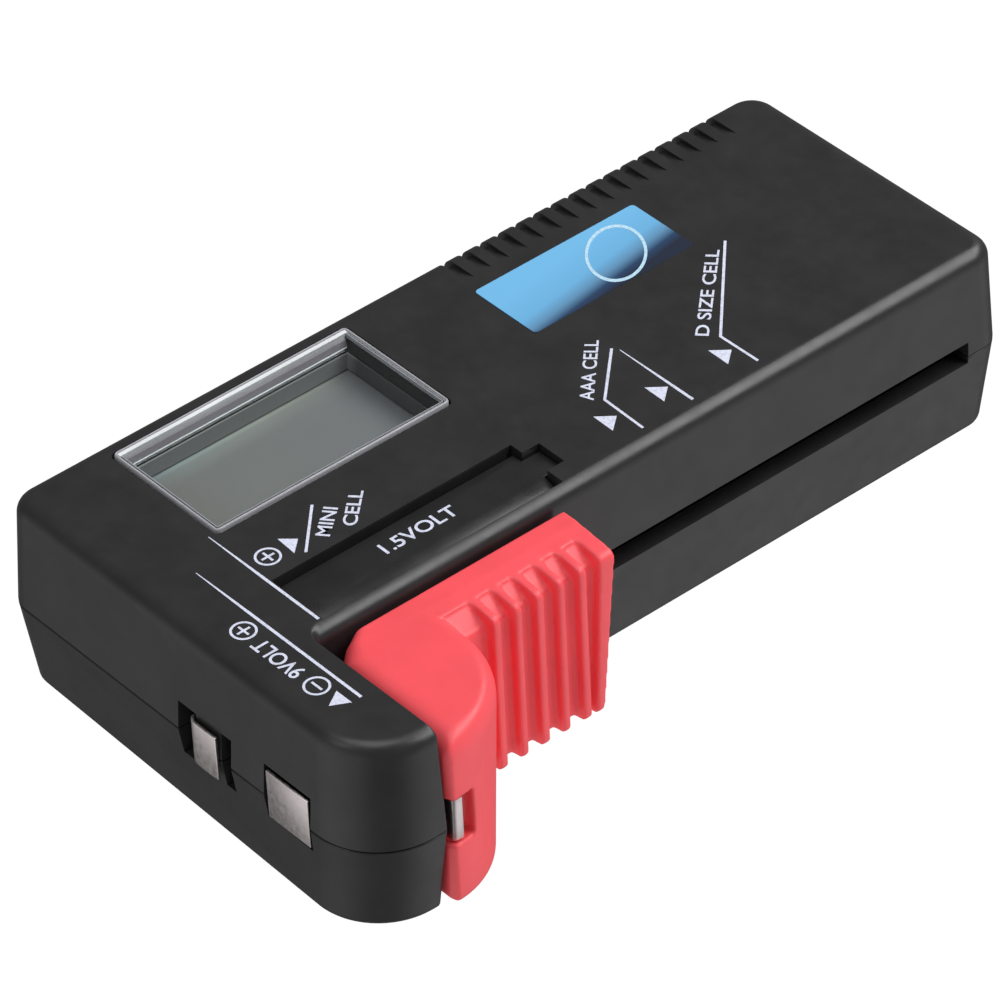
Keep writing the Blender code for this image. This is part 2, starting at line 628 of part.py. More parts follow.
def grip_profile(inset):
    """XZ section of the grip round its right side, from its lower to its upper edge."""
    low = GRIP_LOW + inset * 0.6 + GRIP_LOW_RADIUS
    high = SLIDER_TOP - GRIP_FALL - inset - GRIP_TOP_RADIUS
    return [
        *[(p[0], p[1]) for p in arc((GRIP_RIGHT - inset - GRIP_LOW_RADIUS, low), GRIP_LOW_RADIUS, 270, 360, 3)],
        *[(p[0], p[1]) for p in arc((GRIP_RIGHT - inset - GRIP_TOP_RADIUS, high), GRIP_TOP_RADIUS, 0, 80, 3)],
    ]


def slider_arm():
    about = (SLIDER_LEFT, (TONGUE_START + TONGUE_END) / 2, (SLOT_LOW + SLOT_HIGH) / 2)
    build = bmesh.new()
    outline = [(SLIDER_LEFT, GRIP_LOW), *grip_profile(0.0), (GRIP_FLAT, SLIDER_TOP), (SLIDER_LEFT, SLIDER_TOP)]
    put_loft(build, [[Vector((x, 16.0, z)) - Vector(about) for x, z in outline],
                     [Vector((x, GRIP_END - GRIP_END_DRAFT * (SLIDER_TOP - z), z)) - Vector(about) for x, z in outline]])
    body = add("slider_arm", build, about, RED, SLIDER_EMPTY)

    build = bmesh.new()
    floor = grip_profile(RIB_HEIGHT)
    clear_right, clear_top, clear_low = GRIP_RIGHT + 2.0, SLIDER_TOP + 2.0, GRIP_LOW - 2.0
    groove = [(GROOVE_LEFT, clear_low), (clear_right, clear_low), (clear_right, clear_top), (GROOVE_LEFT, clear_top),
              (GROOVE_LEFT + 0.1, SLIDER_TOP - 0.6), *reversed(floor), (GROOVE_LEFT, floor[0][1])]
    for index in range(RIB_COUNT):
        far = RIB_START + index * RIB_PITCH
        near = far - RIB_PITCH + RIB_WIDTH if index else 20.0
        prism_along_y(build, groove, near, far, about)
    grooves = add("cut_grip_grooves", build, about, None)

    build = bmesh.new()
    rings = []
    for turn in (0, 45, 90):
        out = 1 - math.sin(math.radians(turn))
        height = ARM_LOW + ARM_EDGE * (1 - math.cos(math.radians(turn)))
        rings.append([Vector((*p, height)) for p in arm_outline(height, ARM_EDGE * out)])
    for turn in (0, 30, 60, 90):
        out = 1 - math.cos(math.radians(turn))
        height = SLIDER_TOP - ARM_FRONT_EDGE * (1 - math.sin(math.radians(turn)))
        rings.append([Vector((*p, height - arm_fall(p.x)))
                      for p in arm_outline(height, ARM_TOP_EDGE * out, ARM_FRONT_EDGE * out)])
    put_loft(build, [[point - Vector(about) for point in ring] for ring in rings])
    bmesh.ops.triangulate(build, faces=list(build.faces))
    arm = add("add_arm", build, about, None)
    tongue = boxes("add_tongue", [((33.2, TONGUE_START, TONGUE_LOW), (43.0, TONGUE_END, TONGUE_HIGH))])

    low, high = CELL_CONTACT_LOW - GAP, CELL_CONTACT_HIGH + GAP
    contact_bed = boxes("cut_contact_bed", [((44.3, ARM_FRONT - 1.0, low), (63.0, ARM_FRONT + 1.25, high))])
    contact_end = boxes("cut_contact_end", [((60.4, ARM_FRONT + 0.5, low), (63.0, 14.4, high))])
    contact_tail = boxes("cut_contact_tail", [((44.3, ARM_FRONT + 0.5, low), (45.6, 19.0, high))])
    lead_groove = boxes("cut_lead_groove", [((33.0, 18.2, TONGUE_HIGH - 1.1), (45.0, 19.6, 15.0))])
    pilots = cylinders("cut_slider_pilots", [
        ((SHOE_SCREW_X, y, 10.0), (SHOE_SCREW_X, y, 15.0), 1.0) for y in SHOE_SCREWS.values()
    ], sides=12)

    boolean(body, grooves)
    boolean(body, arm, "UNION")
    boolean(body, tongue, "UNION")
    for cutter in (contact_bed, contact_end, contact_tail, lead_groove, pilots):
        boolean(body, cutter)


def slider_fittings():
    shoe_high = TONGUE_LOW - GAP
    shoe_low = 9.5
    shoe = boxes("slider_shoe", [((31.9, 17.0, shoe_low), (38.7, 41.0, shoe_high))], BLACK, SLIDER_EMPTY)
    boolean(shoe, boxes("add_spring_tab", [((28.3, TAB_NEAR, shoe_low), (32.4, TAB_FAR, 14.2))]), "UNION")
    boolean(shoe, cylinders("cut_spring_tab", [
        ((SPRING_X, TAB_NEAR - 1, SPRING_Z), (SPRING_X, TAB_FAR + 1, SPRING_Z), 0.7),
    ], sides=12))
    boolean(shoe, cylinders("cut_shoe_holes", [
        ((SHOE_SCREW_X, y, shoe_low - 1), (SHOE_SCREW_X, y, shoe_high + 1), 1.1) for y in SHOE_SCREWS.values()
    ], sides=12))
    for place, y in SHOE_SCREWS.items():
        screw(f"shoe_screw_{place}", SHOE_SCREW_X, y, 8.1, shoe_low - GAP, 13.5, 1.5, 0.7, SLIDER_EMPTY)
    wire("slider_lead", smooth_route([(44.0, 18.9, 13.15), (40.0, 18.9, 13.15), (36.0, 18.9, 13.3),
                                      (34.0, 18.9, 14.6), (32.6, 20.6, 14.9), (31.8, 28.0, 14.9),
                                      (31.2, 36.0, 14.95), (30.4, 39.6, 14.9), (29.8, 40.4, 13.6)], 3),
         0.35, RED_WIRE, SLIDER_EMPTY)


def return_spring():
    """Extension spring from the anchor to the shoe's tab, its two ends run straight through their holes."""
    per_turn = 10
    points = [(SPRING_X, ANCHOR_Y - 1.2, SPRING_Z), (SPRING_X, ANCHOR_Y + 0.6, SPRING_Z)]
    for i in range(SPRING_TURNS * per_turn + 1):
        turn = 2 * math.pi * i / per_turn
        along = SPRING_NEAR + (SPRING_FAR - SPRING_NEAR) * i / (SPRING_TURNS * per_turn)
        points.append((SPRING_X + SPRING_RADIUS * math.sin(turn), along, SPRING_Z - SPRING_RADIUS * math.cos(turn)))
    points += [(SPRING_X, SPRING_FAR + 0.9, SPRING_Z), (SPRING_X, TAB_FAR + 1.2, SPRING_Z)]
    wire("return_spring", points, SPRING_WIRE, STEEL)


def spring_anchor():
    """Bent bracket screwed to a post, with the hole that the fixed end of the spring passes through."""
    foot = (9.6, 10.0)
    anchor = boxes("spring_anchor", [((28.1, 4.8, foot[0]), (30.9, ANCHOR_Y, foot[1]))], NICKEL)
    boolean(anchor, boxes("add_anchor_leg", [((28.1, ANCHOR_Y - 0.4, 9.8), (30.9, ANCHOR_Y, 14.6))]), "UNION")
    boolean(anchor, cylinders("cut_anchor_holes", [
        ((SPRING_X, ANCHOR_Y - 2, SPRING_Z), (SPRING_X, ANCHOR_Y + 2, SPRING_Z), 0.7),
        ((SPRING_X, 6.9, 9.0), (SPRING_X, 6.9, 10.6), 1.1),
    ], sides=12))
    screw("anchor_screw", SPRING_X, 6.9, foot[1] + GAP + 1.0, foot[1] + GAP, 5.0, 1.5, 0.75)


finish_shells()
display()
board()
fasteners()
inset_panel()
label()
contacts()
leads()
slider_arm()
slider_fittings()
return_spring()
spring_anchor()
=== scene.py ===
"""Looks of the handheld battery tester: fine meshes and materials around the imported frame.

Lengths are millimetres from the case's near left bottom corner, X towards the slider, Y along the
case, Z up. at() turns them into metres in the frame.
"""

import math

import bmesh
import bpy
from mathutils import Matrix, Vector
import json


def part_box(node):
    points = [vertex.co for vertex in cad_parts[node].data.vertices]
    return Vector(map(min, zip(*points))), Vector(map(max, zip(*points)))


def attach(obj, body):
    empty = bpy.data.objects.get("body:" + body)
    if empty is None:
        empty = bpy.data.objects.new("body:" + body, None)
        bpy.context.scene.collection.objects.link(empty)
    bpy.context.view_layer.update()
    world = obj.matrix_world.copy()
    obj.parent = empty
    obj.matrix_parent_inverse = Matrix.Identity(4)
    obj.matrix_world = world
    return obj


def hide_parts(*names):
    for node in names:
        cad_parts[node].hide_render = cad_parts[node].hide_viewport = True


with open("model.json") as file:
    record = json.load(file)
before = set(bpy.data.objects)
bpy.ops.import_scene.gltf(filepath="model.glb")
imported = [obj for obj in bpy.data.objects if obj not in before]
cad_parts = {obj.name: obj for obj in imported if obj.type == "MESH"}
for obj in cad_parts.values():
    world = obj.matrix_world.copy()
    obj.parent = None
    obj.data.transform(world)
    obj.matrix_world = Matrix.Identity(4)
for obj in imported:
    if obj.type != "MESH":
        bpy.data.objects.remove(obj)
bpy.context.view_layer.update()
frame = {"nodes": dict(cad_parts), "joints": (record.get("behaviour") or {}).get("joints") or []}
NODES = frame["nodes"]

MM = 0.001
CORNER = Vector((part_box("top_shell")[0].x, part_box("top_shell")[0].y, 0.0))


def at(x, y, z=0.0):
    return CORNER + Vector((x, y, z)) * MM


def cad(node):
    """A node's lowest and highest corners, in millimetres from the case's corner."""
    low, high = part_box(node)
    return (low - CORNER) / MM, (high - CORNER) / MM


# Sizes read from the frame
WINDOW_LOW, WINDOW_HIGH = cad("display_window")
FRAME_LOW, FRAME_HIGH = cad("display_frame")
LCD_LOW, LCD_HIGH = cad("lcd_panel")
PANEL_LOW, PANEL_HIGH = cad("inset_panel")
LABEL_LOW, LABEL_HIGH = cad("name_label")  # the sticker
SLIDER_LOW, SLIDER_HIGH = cad("slider_arm")
PLATE_LOW, PLATE_HIGH = cad("contact_9v_negative")
BOW_LOW, BOW_HIGH = cad("contact_9v_positive")
TRAVEL = frame["joints"][0]["range_m"][1] / MM  # of the slider

# Case
LENGTH = 110.0
JAW_WIDTH = 62.1  # from the left wall to the jaw's right end
TOP = cad("top_shell")[1].z
PARTING = 11.9  # height of the joint between the two shells
BODY_WIDTH = 41.4
JAW_DEPTH = 10.65  # from the near wall to the jaw's back
WALL = 1.8
CEILING = 23.1  # underside of the top wall
CORNER_RADIUS = 3.4
JAW_NOSE_RADIUS = 8.7
JAW_HEEL_RADIUS = 0.6
NOTCH_RADIUS = 0.8
LEAST_RADIUS = 0.3  # of an inset corner
TOP_EDGE_RADIUS = 1.9
LOW_EDGE_RADIUS = 1.0
RIM_BREAK = 0.12  # of the shells' edges at the joint
EDGE_BREAK = 0.16  # of their other sharp edges
HEEL_EDGE = 0.2  # share of the other edges' rounding that the jaw's back has
UPPER_LEAN = (0.1, 0.95, 0.25, 0.55)  # of the left, near, right and far walls, from the parting up
LOWER_LEAN = (0.15, 0.75, 1.4, 0.85)  # and from the parting down
LOWER_SKEW = 1.0  # further lean of the near wall at its left corner
JAW_LEAN = (0.6, 1.7)  # of the jaw's right end, to the top and to the underside
HEEL_LEAN = 0.2  # share of the right wall's lean that the jaw's back has
SEAM = 0.07  # half the gap between the two shells
SLOT_LOW, SLOT_HIGH = 11.1, 14.05
SLOT_START = 15.6
SLOT_SIDES = (39.0, 42.2)  # through the right wall
BOW_OPENINGS = ((30.2, 33.25), (37.55, 39.15))  # beside the bowed contact
CONTACT_OPENING = (-1.0, 2.4)  # near and far ends of the openings in the near wall
JAW_OPENING = ((46.4, 7.6, 9.2), (58.4, 11.4, 15.6))
LIP_LOW, LIP_HIGH = 11.0, 12.8  # the lip inside the joint
LIP_GAP, LIP_DEPTH = 0.06, 0.5  # from the inner wall to its outer and inner sides
POST_TOP, POST_RADIUS = 12.2, 3.4  # for the case screws
SCREW_WELL_TOP, SCREW_WELL_RADIUS, SCREW_HOLE_RADIUS = 3.4, 2.5, 1.4
SHOE_RAIL = ((33.0, 12.5, 1.2), (34.6, 106.0, 9.2))  # under the slider's shoe

# Openings in the top
WINDOW_ROUND = 0.6
WINDOW_SILL = 0.7  # width of the ledge that the window lies on
WINDOW_SILL_TOP = 23.9
WINDOW_EDGE = 0.42  # width of the window's polished edge
OPENING_LOW, OPENING_HIGH = 22.0, 27.0  # a cutter's ends below and above the top wall
PANEL_LEFT, PANEL_NEAR, PANEL_FAR = 31.7, 13.4, 46.0
PANEL_GAP = 0.3
PANEL_TOP, PANEL_UNDER = 24.5, 21.8
PANEL_SLOPE = (1.9, 0.45)  # width and drop of the slope along its right edge
TAB_LEFT, TAB_RIGHT, TAB_FAR = 33.1, 36.8, 48.5
TAB_GAP = 0.22

# Grooves over the left top edge
GROOVES = 16
GROOVE_START, GROOVE_PITCH, GROOVE_WIDTH, GROOVE_DEPTH = 61.65, 2.61, 1.15, 0.55
GROOVE_RIGHT = 5.7  # where they run out on the top
GROOVE_ROUND = 1.9

# Slider
SLIDER_LEFT = 41.8
ARM_FRONT = SLIDER_LOW.y
ARM_BACK = 23.1
ARM_CHAMFER = (14.9, (42.6, 13.3), 44.9)  # from here on the left side, through this point, to the front
ARM_EDGE, ARM_TOP_EDGE, ARM_FRONT_EDGE = 1.1, 2.0, 2.6  # rounding below, above, and above at the jaw
ARM_FALL, ARM_FALL_FROM = 0.9, 46.0  # of its top, towards its end
ARM_DRAFT, ARM_DRAFT_FROM = 0.075, 8.0  # lean of the arm's back, from the height where it ends at ARM_BACK
CONTACT_RECESS = 0.6
ARM_CENTRE = Vector((50.3, 11.5))  # of the curve round its end
GRIP_RIGHT = 50.5
GRIP_END, GRIP_END_DRAFT = 44.2, 0.085  # at the height of its top, and how it leans
GRIP_FLAT, GRIP_FALL = 44.5, 0.5  # the top falls by this much from here to the right edge
GRIP_FOOT, GRIP_FOOT_DRAFT = 7.0, 0.03  # below this height its end leans more and more
GRIP_LOW = 2.2
GRIP_RADIUS = 1.0  # of its upper and lower right edges
RIBS, RIB_START, RIB_PITCH, RIB_WIDTH, RIB_HEIGHT = 6, 27.2, 2.97, 1.0, 1.2
RIB_LEFT = 46.4
LAST_GROOVE_LEAN = 0.055  # of its far side, so that the end rib stays whole down to its foot
FIRST_GROOVE = 20.0  # where the first groove starts, inside the arm
TONGUE_NEAR, TONGUE_FAR = 16.0, 41.5
TONGUE_SIDES, TONGUE_PLAY = (33.2, 43.0), 0.3
VOXEL = 0.22

# Contacts and printing
SHEET = 0.35  # thickness of the contacts
BEND_BREAK = 0.08  # rounding of their edges
JAW_CONTACT, ARM_CONTACT = (9.5, 15.3), (9.3, 14.9)  # lower and upper edges
PRINT_HEIGHT = 0.03
INK_LOW, INK_HIGH = TOP - 0.01, TOP + PRINT_HEIGHT


# Mesh helpers

def turns(first, last, steps):
    """Even steps from one angle to another, given in degrees, as radians."""
    return [math.radians(first + (last - first) * i / steps) for i in range(steps + 1)]


def arc(centre, radius, first, last, steps):
    """Points of a circle's arc between two angles in degrees."""
    return [Vector((centre[0] + radius * math.cos(turn), centre[1] + radius * math.sin(turn)))
            for turn in turns(first, last, steps)]


def rounded_rectangle(low, high, r, steps):
    return [*arc((low.x + r, low.y + r), r, 180, 270, steps),
            *arc((high.x - r, low.y + r), r, 270, 360, steps),
            *arc((high.x - r, high.y - r), r, 0, 90, steps),
            *arc((low.x + r, high.y - r), r, 90, 180, steps)]


def level(outline, height):
    """A plan outline's points at this height."""
    return [Vector((*point, height)) for point in outline]


def join_rows(build, below, above):
    for i in range(len(below)):
        j = (i + 1) % len(below)
        build.faces.new((below[i], below[j], above[j], above[i]))


def put_loft(build, rings):
    """Closed solid through rings of points that match one to one, capped at both ends."""
    rows = [[build.verts.new(point) for point in ring] for ring in rings]
    for below, above in zip(rows, rows[1:]):
        join_rows(build, below, above)
    build.faces.new(list(reversed(rows[0])))
    build.faces.new(rows[-1])


def put_band(build, rings):
    """Closed ring through sections that match one to one, the last joined to the first."""
    rows = [[build.verts.new(point) for point in ring] for ring in rings]
    for below, above in zip(rows, [*rows[1:], rows[0]]):
        join_rows(build, below, above)


def put_box(build, low, high):
    size, middle = Vector(high) - Vector(low), (Vector(high) + Vector(low)) / 2
    bmesh.ops.create_cube(build, size=1.0, matrix=Matrix.Translation(middle) @ Matrix.Diagonal((*size, 1.0)))


def put_rod(build, start, end, radius, sides=32):
    start, end = Vector(start), Vector(end)
    turn = (end - start).to_track_quat("Z", "Y").to_matrix().to_4x4()
    bmesh.ops.create_cone(build, cap_ends=True, segments=sides, radius1=radius, radius2=radius,
                          depth=(end - start).length, matrix=Matrix.Translation((start + end) / 2) @ turn)


def along_y(build, profile, near, far):
    """Extrude a closed XZ profile along Y."""
    put_loft(build, [[Vector((x, y, z)) for x, z in profile] for y in (near, far)])


def add_object(name, data):
    obj = bpy.data.objects.new(name, data)
    bpy.context.scene.collection.objects.link(obj)
    return obj


def evaluated_mesh(obj):
    bpy.context.view_layer.update()
    graph = bpy.context.evaluated_depsgraph_get()
    return bpy.data.meshes.new_from_object(obj.evaluated_get(graph))


def mesh_object(name, build):
    """An object in the frame from a bmesh in millimetres."""
    bmesh.ops.recalc_face_normals(build, faces=build.faces)
    bmesh.ops.transform(build, matrix=Matrix.Translation(CORNER) @ Matrix.Scale(MM, 4), verts=build.verts)
    mesh = bpy.data.meshes.new(name)
    build.to_mesh(mesh)
    build.free()
    return add_object(name, mesh)


def baked(obj):
    """Apply every modifier, and remove the objects that they used."""
    mesh = evaluated_mesh(obj)
    cutters = [m.object for m in obj.modifiers if m.type == "BOOLEAN"]
    obj.modifiers.clear()
    obj.data = mesh
    for cutter in cutters:
        bpy.data.objects.remove(cutter, do_unlink=True)
    return obj


def combine(obj, build, operation="DIFFERENCE"):
    """Cut a solid out of the object, or join it on with UNION."""
    other = mesh_object("tool", build)
    other.hide_render = True
    change = obj.modifiers.new("combine", "BOOLEAN")
    change.operation = operation
    change.object = other
    change.solver = "EXACT"
    return baked(obj)


def combine_boxes(obj, *boxes, operation="DIFFERENCE"):
    """Cut out or join boxes, each a pair of opposite corners."""
    build = bmesh.new()
    for low, high in boxes:
        put_box(build, low, high)
    return combine(obj, build, operation)


def rounded(obj, width, segments=2, angle=35):
    """Round every edge that is sharper than the angle."""
    edge = obj.modifiers.new("rounded", "BEVEL")
    edge.width = width * MM
    edge.segments = segments
    edge.limit_method = "ANGLE"
    edge.angle_limit = math.radians(angle)
    edge.use_clamp_overlap = True
    edge.harden_normals = False
    return baked(obj)


def smooth_shaded(obj, angle=30):
    obj.data.shade_smooth()
    obj.data.set_sharp_from_angle(angle=math.radians(angle))
    return obj


def flat_faced(obj):
    """Keep broad faces flat-shaded where they meet rounded edges."""
    even = obj.modifiers.new("even", "WEIGHTED_NORMAL")
    even.keep_sharp = True
    even.weight = 100
    return baked(obj)


def finish_piece(obj, body, material, slot, *nodes):
    """Give a piece its material and its place in the moving model."""
    obj.data.materials.clear()
    obj.data.materials.append(material)
    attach(obj, body)
    if nodes:
        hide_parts(*nodes)


# Materials

class Nodes:
    """A Principled material whose nodes are added in a few words."""

    def __init__(self, name):
        self.material = bpy.data.materials.new(name)
        self.material.use_nodes = True
        self.tree = self.material.node_tree
        self.shader = self.tree.nodes["Principled BSDF"]
        self.place = self.add("TexCoord").outputs["Object"]

    def set(self, **values):
        for key, value in values.items():
            self.shader.inputs[key.replace("_", " ")].default_value = value
        return self

    def link(self, socket, target):
        self.tree.links.new(socket, target)

    def add(self, kind, **inputs):
        """A node of this kind. As in set(), an input's name has _ for each space."""
        node = self.tree.nodes.new("ShaderNode" + kind)
        for key, value in inputs.items():
            node.inputs[key.replace("_", " ")].default_value = value
        return node

    def calc(self, operation, *values):
        """A Math node on values that are sockets or plain numbers."""
        node = self.add("Math")
        node.operation = operation
        for value, target in zip(values, node.inputs):
            if isinstance(value, float):
                target.default_value = value
            else:
                self.link(value, target)
        return node.outputs["Value"]

    def coordinate(self, axis):
        split = self.add("SeparateXYZ")
        self.link(self.place, split.inputs["Vector"])
        return split.outputs[axis]

    def share(self, value, first, last):
        """How far a value has gone from first, 0, to last, 1."""
        node = self.add("MapRange", From_Min=first, From_Max=last)
        self.link(value, node.inputs["Value"])
        return node.outputs["Result"]

    def stretched(self, scale):
        mapping = self.add("Mapping", Scale=scale)
        self.link(self.place, mapping.inputs["Vector"])
        return mapping.outputs["Vector"]

    def noise(self, scale, detail=3.0, rough=0.55, along=None):
        node = self.add("TexNoise", Scale=scale, Detail=detail, Roughness=rough)
        self.link(self.stretched(along) if along else self.place, node.inputs["Vector"])
        return node.outputs["Fac"]

    def ramp(self, fac, stops):
        """A colour ramp through (position, colour) stops. A plain number stands for a grey."""
        node = self.add("ValToRGB")
        ends = node.color_ramp.elements
        while len(ends) < len(stops):
            ends.new(0.5)
        for end, (position, colour) in zip(ends, stops):
            end.position = position
            end.color = (*colour, 1.0) if isinstance(colour, tuple) else (colour, colour, colour, 1.0)
        self.link(fac, node.inputs["Fac"])
        return node.outputs["Color"]

    def bump(self, height, strength, distance=0.0001, under=None):
        node = self.add("Bump", Strength=strength, Distance=distance)
        self.link(height, node.inputs["Height"])
        if under:
            self.link(under, node.inputs["Normal"])
        self.link(node.outputs["Normal"], self.shader.inputs["Normal"])
        return node.outputs["Normal"]

    def colour(self, socket):
        self.link(socket, self.shader.inputs["Base Color"])
        return self

    def rough(self, socket):
        self.link(socket, self.shader.inputs["Roughness"])
        return self


def moulded(name, colour, roughness, grain=0.25, spread=0.12, specular=0.5):
    """Moulded plastic: a fine spark-eroded grain, faint flow waves and uneven gloss."""
    made = Nodes(name).set(Specular_IOR_Level=specular)
    darker = tuple(c * (1 - spread) for c in colour)
    lighter = tuple(min(c * (1 + spread), 1.0) for c in colour)
    made.colour(made.ramp(made.noise(160.0, 4.0), [(0.35, darker), (0.65, lighter)]))
    made.rough(made.ramp(made.noise(420.0, 3.0), [(0.3, roughness - 0.05), (0.7, roughness + 0.05)]))
    waves = made.bump(made.noise(55.0, 2.0), 0.10, 0.0004)
    made.bump(made.noise(7000.0, 2.0, 0.6), grain, 0.00003, waves)
    return made.material


def sheet_metal(name, colour, roughness):
    """Plated sheet: fine level lines from drawing, and soft stains."""
    made = Nodes(name).set(Metallic=1.0)
    stain = made.noise(700.0, 4.0)
    made.colour(made.ramp(stain, [(0.3, tuple(c * 0.92 for c in colour)), (0.65, colour)]))
    made.rough(made.ramp(made.noise(1500.0, 3.0), [(0.3, roughness - 0.08), (0.7, roughness + 0.1)]))
    made.bump(made.noise(1.0, 2.0, along=(400.0, 400.0, 9000.0)), 0.10, 0.00002)
    return made.material


def printed(name, colour):
    """Pad-printed ink, a little thin in places."""
    made = Nodes(name).set(Roughness=0.6)
    thin = tuple(c * 0.78 for c in colour)
    made.colour(made.ramp(made.noise(2600.0, 3.0), [(0.35, thin), (0.55, colour)]))
    made.bump(made.noise(9000.0, 2.0), 0.2, 0.00002)
    return made.material


def clear_plastic(name):
    """Clear acrylic: see-through, with a mirror gloss on its outer faces."""
    made = Nodes(name)
    made.tree.nodes.remove(made.shader)
    facing = made.add("NewGeometry").outputs["Backfacing"]
    fresnel = made.add("Fresnel", IOR=1.49).outputs["Fac"]
    mix = made.add("MixShader")
    made.link(made.calc("MULTIPLY", fresnel, made.calc("SUBTRACT", 1.0, facing)), mix.inputs["Fac"])
    made.link(made.add("BsdfTransparent", Color=(0.93, 0.95, 0.95, 1.0)).outputs["BSDF"], mix.inputs[1])
    made.link(made.add("BsdfGlossy", Roughness=0.03).outputs["BSDF"], mix.inputs[2])
    made.link(mix.outputs["Shader"], made.tree.nodes["Material Output"].inputs["Surface"])
    return made.material


def well_face(name):
    """Inside of the display frame: painted light, pale beside the left of the liquid crystal where light
    falls in along that side, and dark elsewhere.
    """
    # Painted light: pale up to pale_to, shading off to dark from dark_from
    pale_to, dark_from = at(5.2, 0).x, at(6.6, 0).x
    made = Nodes(name).set(Roughness=0.5)
    across = made.share(made.coordinate("X"), pale_to, dark_from)
    made.colour(made.ramp(across, [(0.0, 0.225), (1.0, (0.085, 0.085, 0.088))]))
    made.bump(made.noise(5000.0, 2.0), 0.1, 0.00003)
    return made.material


def lcd_face(name):
    """Switched-off liquid crystal: grey green behind a polariser, with a painted highlight, a soft gleam of
    light, along its left edge.
    """
    left, gleam_end = at(4.8, 0).x, at(12.8, 0).x
    far, near = at(0, 46.0).y, at(0, 15.0).y
    made = Nodes(name).set(Roughness=0.2, Specular_IOR_Level=0.3)
    across = made.share(made.coordinate("X"), left, gleam_end)
    along = made.share(made.coordinate("Y"), far, near)
    # Painted highlight: a soft gleam of light along the left edge, fading out towards both ends
    gleam = made.calc("MULTIPLY",
                      made.ramp(across, [(0.0, 0.4), (0.055, 1.0), (0.12, 0.42), (0.42, 0.0)]),
                      made.ramp(along, [(0.0, 0.0), (0.15, 0.5), (0.5, 0.85), (0.8, 1.0), (1.0, 0.5)]))
    tone = made.ramp(along, [(0.0, (0.205, 0.208, 0.216)), (0.12, (0.235, 0.236, 0.242)),
                             (0.35, (0.240, 0.238, 0.238)), (0.75, (0.255, 0.252, 0.243)),
                             (1.0, (0.262, 0.256, 0.240))])
    # Colour of the painted gleam of light, yellowish green at the far end and bluish near
    gleam_colour = made.ramp(along, [(0.0, (0.36, 0.38, 0.31)), (0.45, (0.46, 0.49, 0.43)),
                             (0.9, (0.36, 0.44, 0.44))])
    mix = made.add("Mix")
    mix.data_type = "RGBA"
    made.link(gleam, mix.inputs["Factor"])
    made.link(tone, mix.inputs[6])
    made.link(gleam_colour, mix.inputs[7])
    made.colour(mix.outputs[2])
    made.bump(made.noise(40.0, 1.0), 0.04, 0.0002)
    return made.material


def label_face(name):
    """Glossy sticker, sky blue fading to navy and black towards its near right side."""
    lean = 0.16  # of the fade's direction, from +X towards +Y
    bright, dark = at(7.6, 84.4), at(18.0, 72.0)
    made = Nodes(name).set(Roughness=0.32, Coat_Weight=0.3, Coat_Roughness=0.12)
    place = made.calc("MULTIPLY_ADD", made.coordinate("Y"), lean, made.coordinate("X"))
    fade = made.share(place, bright.x + lean * bright.y, dark.x + lean * dark.y)
    made.colour(made.ramp(fade, [
        (0.0, (0.175, 0.50, 0.82)), (0.5, (0.150, 0.44, 0.74)), (0.70, (0.115, 0.28, 0.47)),
        (0.86, (0.020, 0.055, 0.13)), (1.0, (0.014, 0.022, 0.045))]))
    made.bump(made.noise(300.0, 2.0), 0.06, 0.0001)
    return made.material


def laminate(name):
    """Green solder mask over copper tracks."""
    made = Nodes(name).set(Roughness=0.35)
    tracks = made.add("TexBrick", Scale=260.0, Mortar_Size=0.05, Mortar=(0.05, 0.30, 0.11, 1.0),
                      Color1=(0.012, 0.15, 0.055, 1.0), Color2=(0.015, 0.18, 0.065, 1.0))
    made.link(made.place, tracks.inputs["Vector"])
    made.colour(tracks.outputs["Color"])
    made.bump(tracks.outputs["Fac"], 0.3, 0.00005)
    return made.material


def striped_rubber(name):
    """Connector strip: dark conducting layers in pale silicone."""
    made = Nodes(name).set(Roughness=0.7)
    wave = made.add("TexWave", Scale=2200.0)
    made.link(made.place, wave.inputs["Vector"])
    made.colour(made.ramp(wave.outputs["Fac"], [(0.45, 0.03), (0.55, (0.62, 0.56, 0.50))]))
    return made.material


BLACK = moulded("black_abs", (0.0225, 0.0222, 0.0235), 0.34)
BLACK_GLOSS = moulded("black_abs_panel", (0.0170, 0.0170, 0.0175), 0.30, grain=0.12)
RED = moulded("red_abs", (0.92, 0.090, 0.108), 0.40, grain=0.12, spread=0.03, specular=0.4)
GREY_PLASTIC = moulded("frame_plastic", (0.42, 0.38, 0.40), 0.45, grain=0.1)
CLEAR = clear_plastic("clear_window")
# Painted light: pale grey and white for the window's edges, standing for light caught in and running along
# the clear acrylic
RIM_PAINTED_HIGHLIGHT = moulded("window_rim_painted_highlight", (0.42, 0.42, 0.45), 0.25, grain=0.05, spread=0.05)
RIM_PAINTED_LIGHT = moulded("window_painted_light_bar", (0.80, 0.82, 0.83), 0.25, grain=0.05, spread=0.05)
FROST = moulded("window_frost", (0.34, 0.31, 0.34), 0.5, grain=0.1, spread=0.04)
WELL = well_face("display_well")
LCD = lcd_face("lcd_glass")
NICKEL = sheet_metal("nickel_plate", (0.88, 0.80, 0.80), 0.34)
STEEL = sheet_metal("spring_steel", (0.50, 0.50, 0.51), 0.28)
ZINC = sheet_metal("zinc_screw", (0.60, 0.60, 0.62), 0.32)
INK = printed("white_ink", (0.72, 0.75, 0.90))
STICKER = label_face("blue_label")
STICKER_INK = printed("label_ink", (0.52, 0.76, 0.92))
BOARD = laminate("board_laminate")
RESIN = moulded("component_resin", (0.022, 0.022, 0.025), 0.35)
RUBBER = striped_rubber("zebra_rubber")
RED_WIRE = moulded("red_wire", (0.55, 0.02, 0.02), 0.35, grain=0.05)
BLACK_WIRE = moulded("black_wire", (0.02, 0.02, 0.02), 0.35, grain=0.05)


# Case

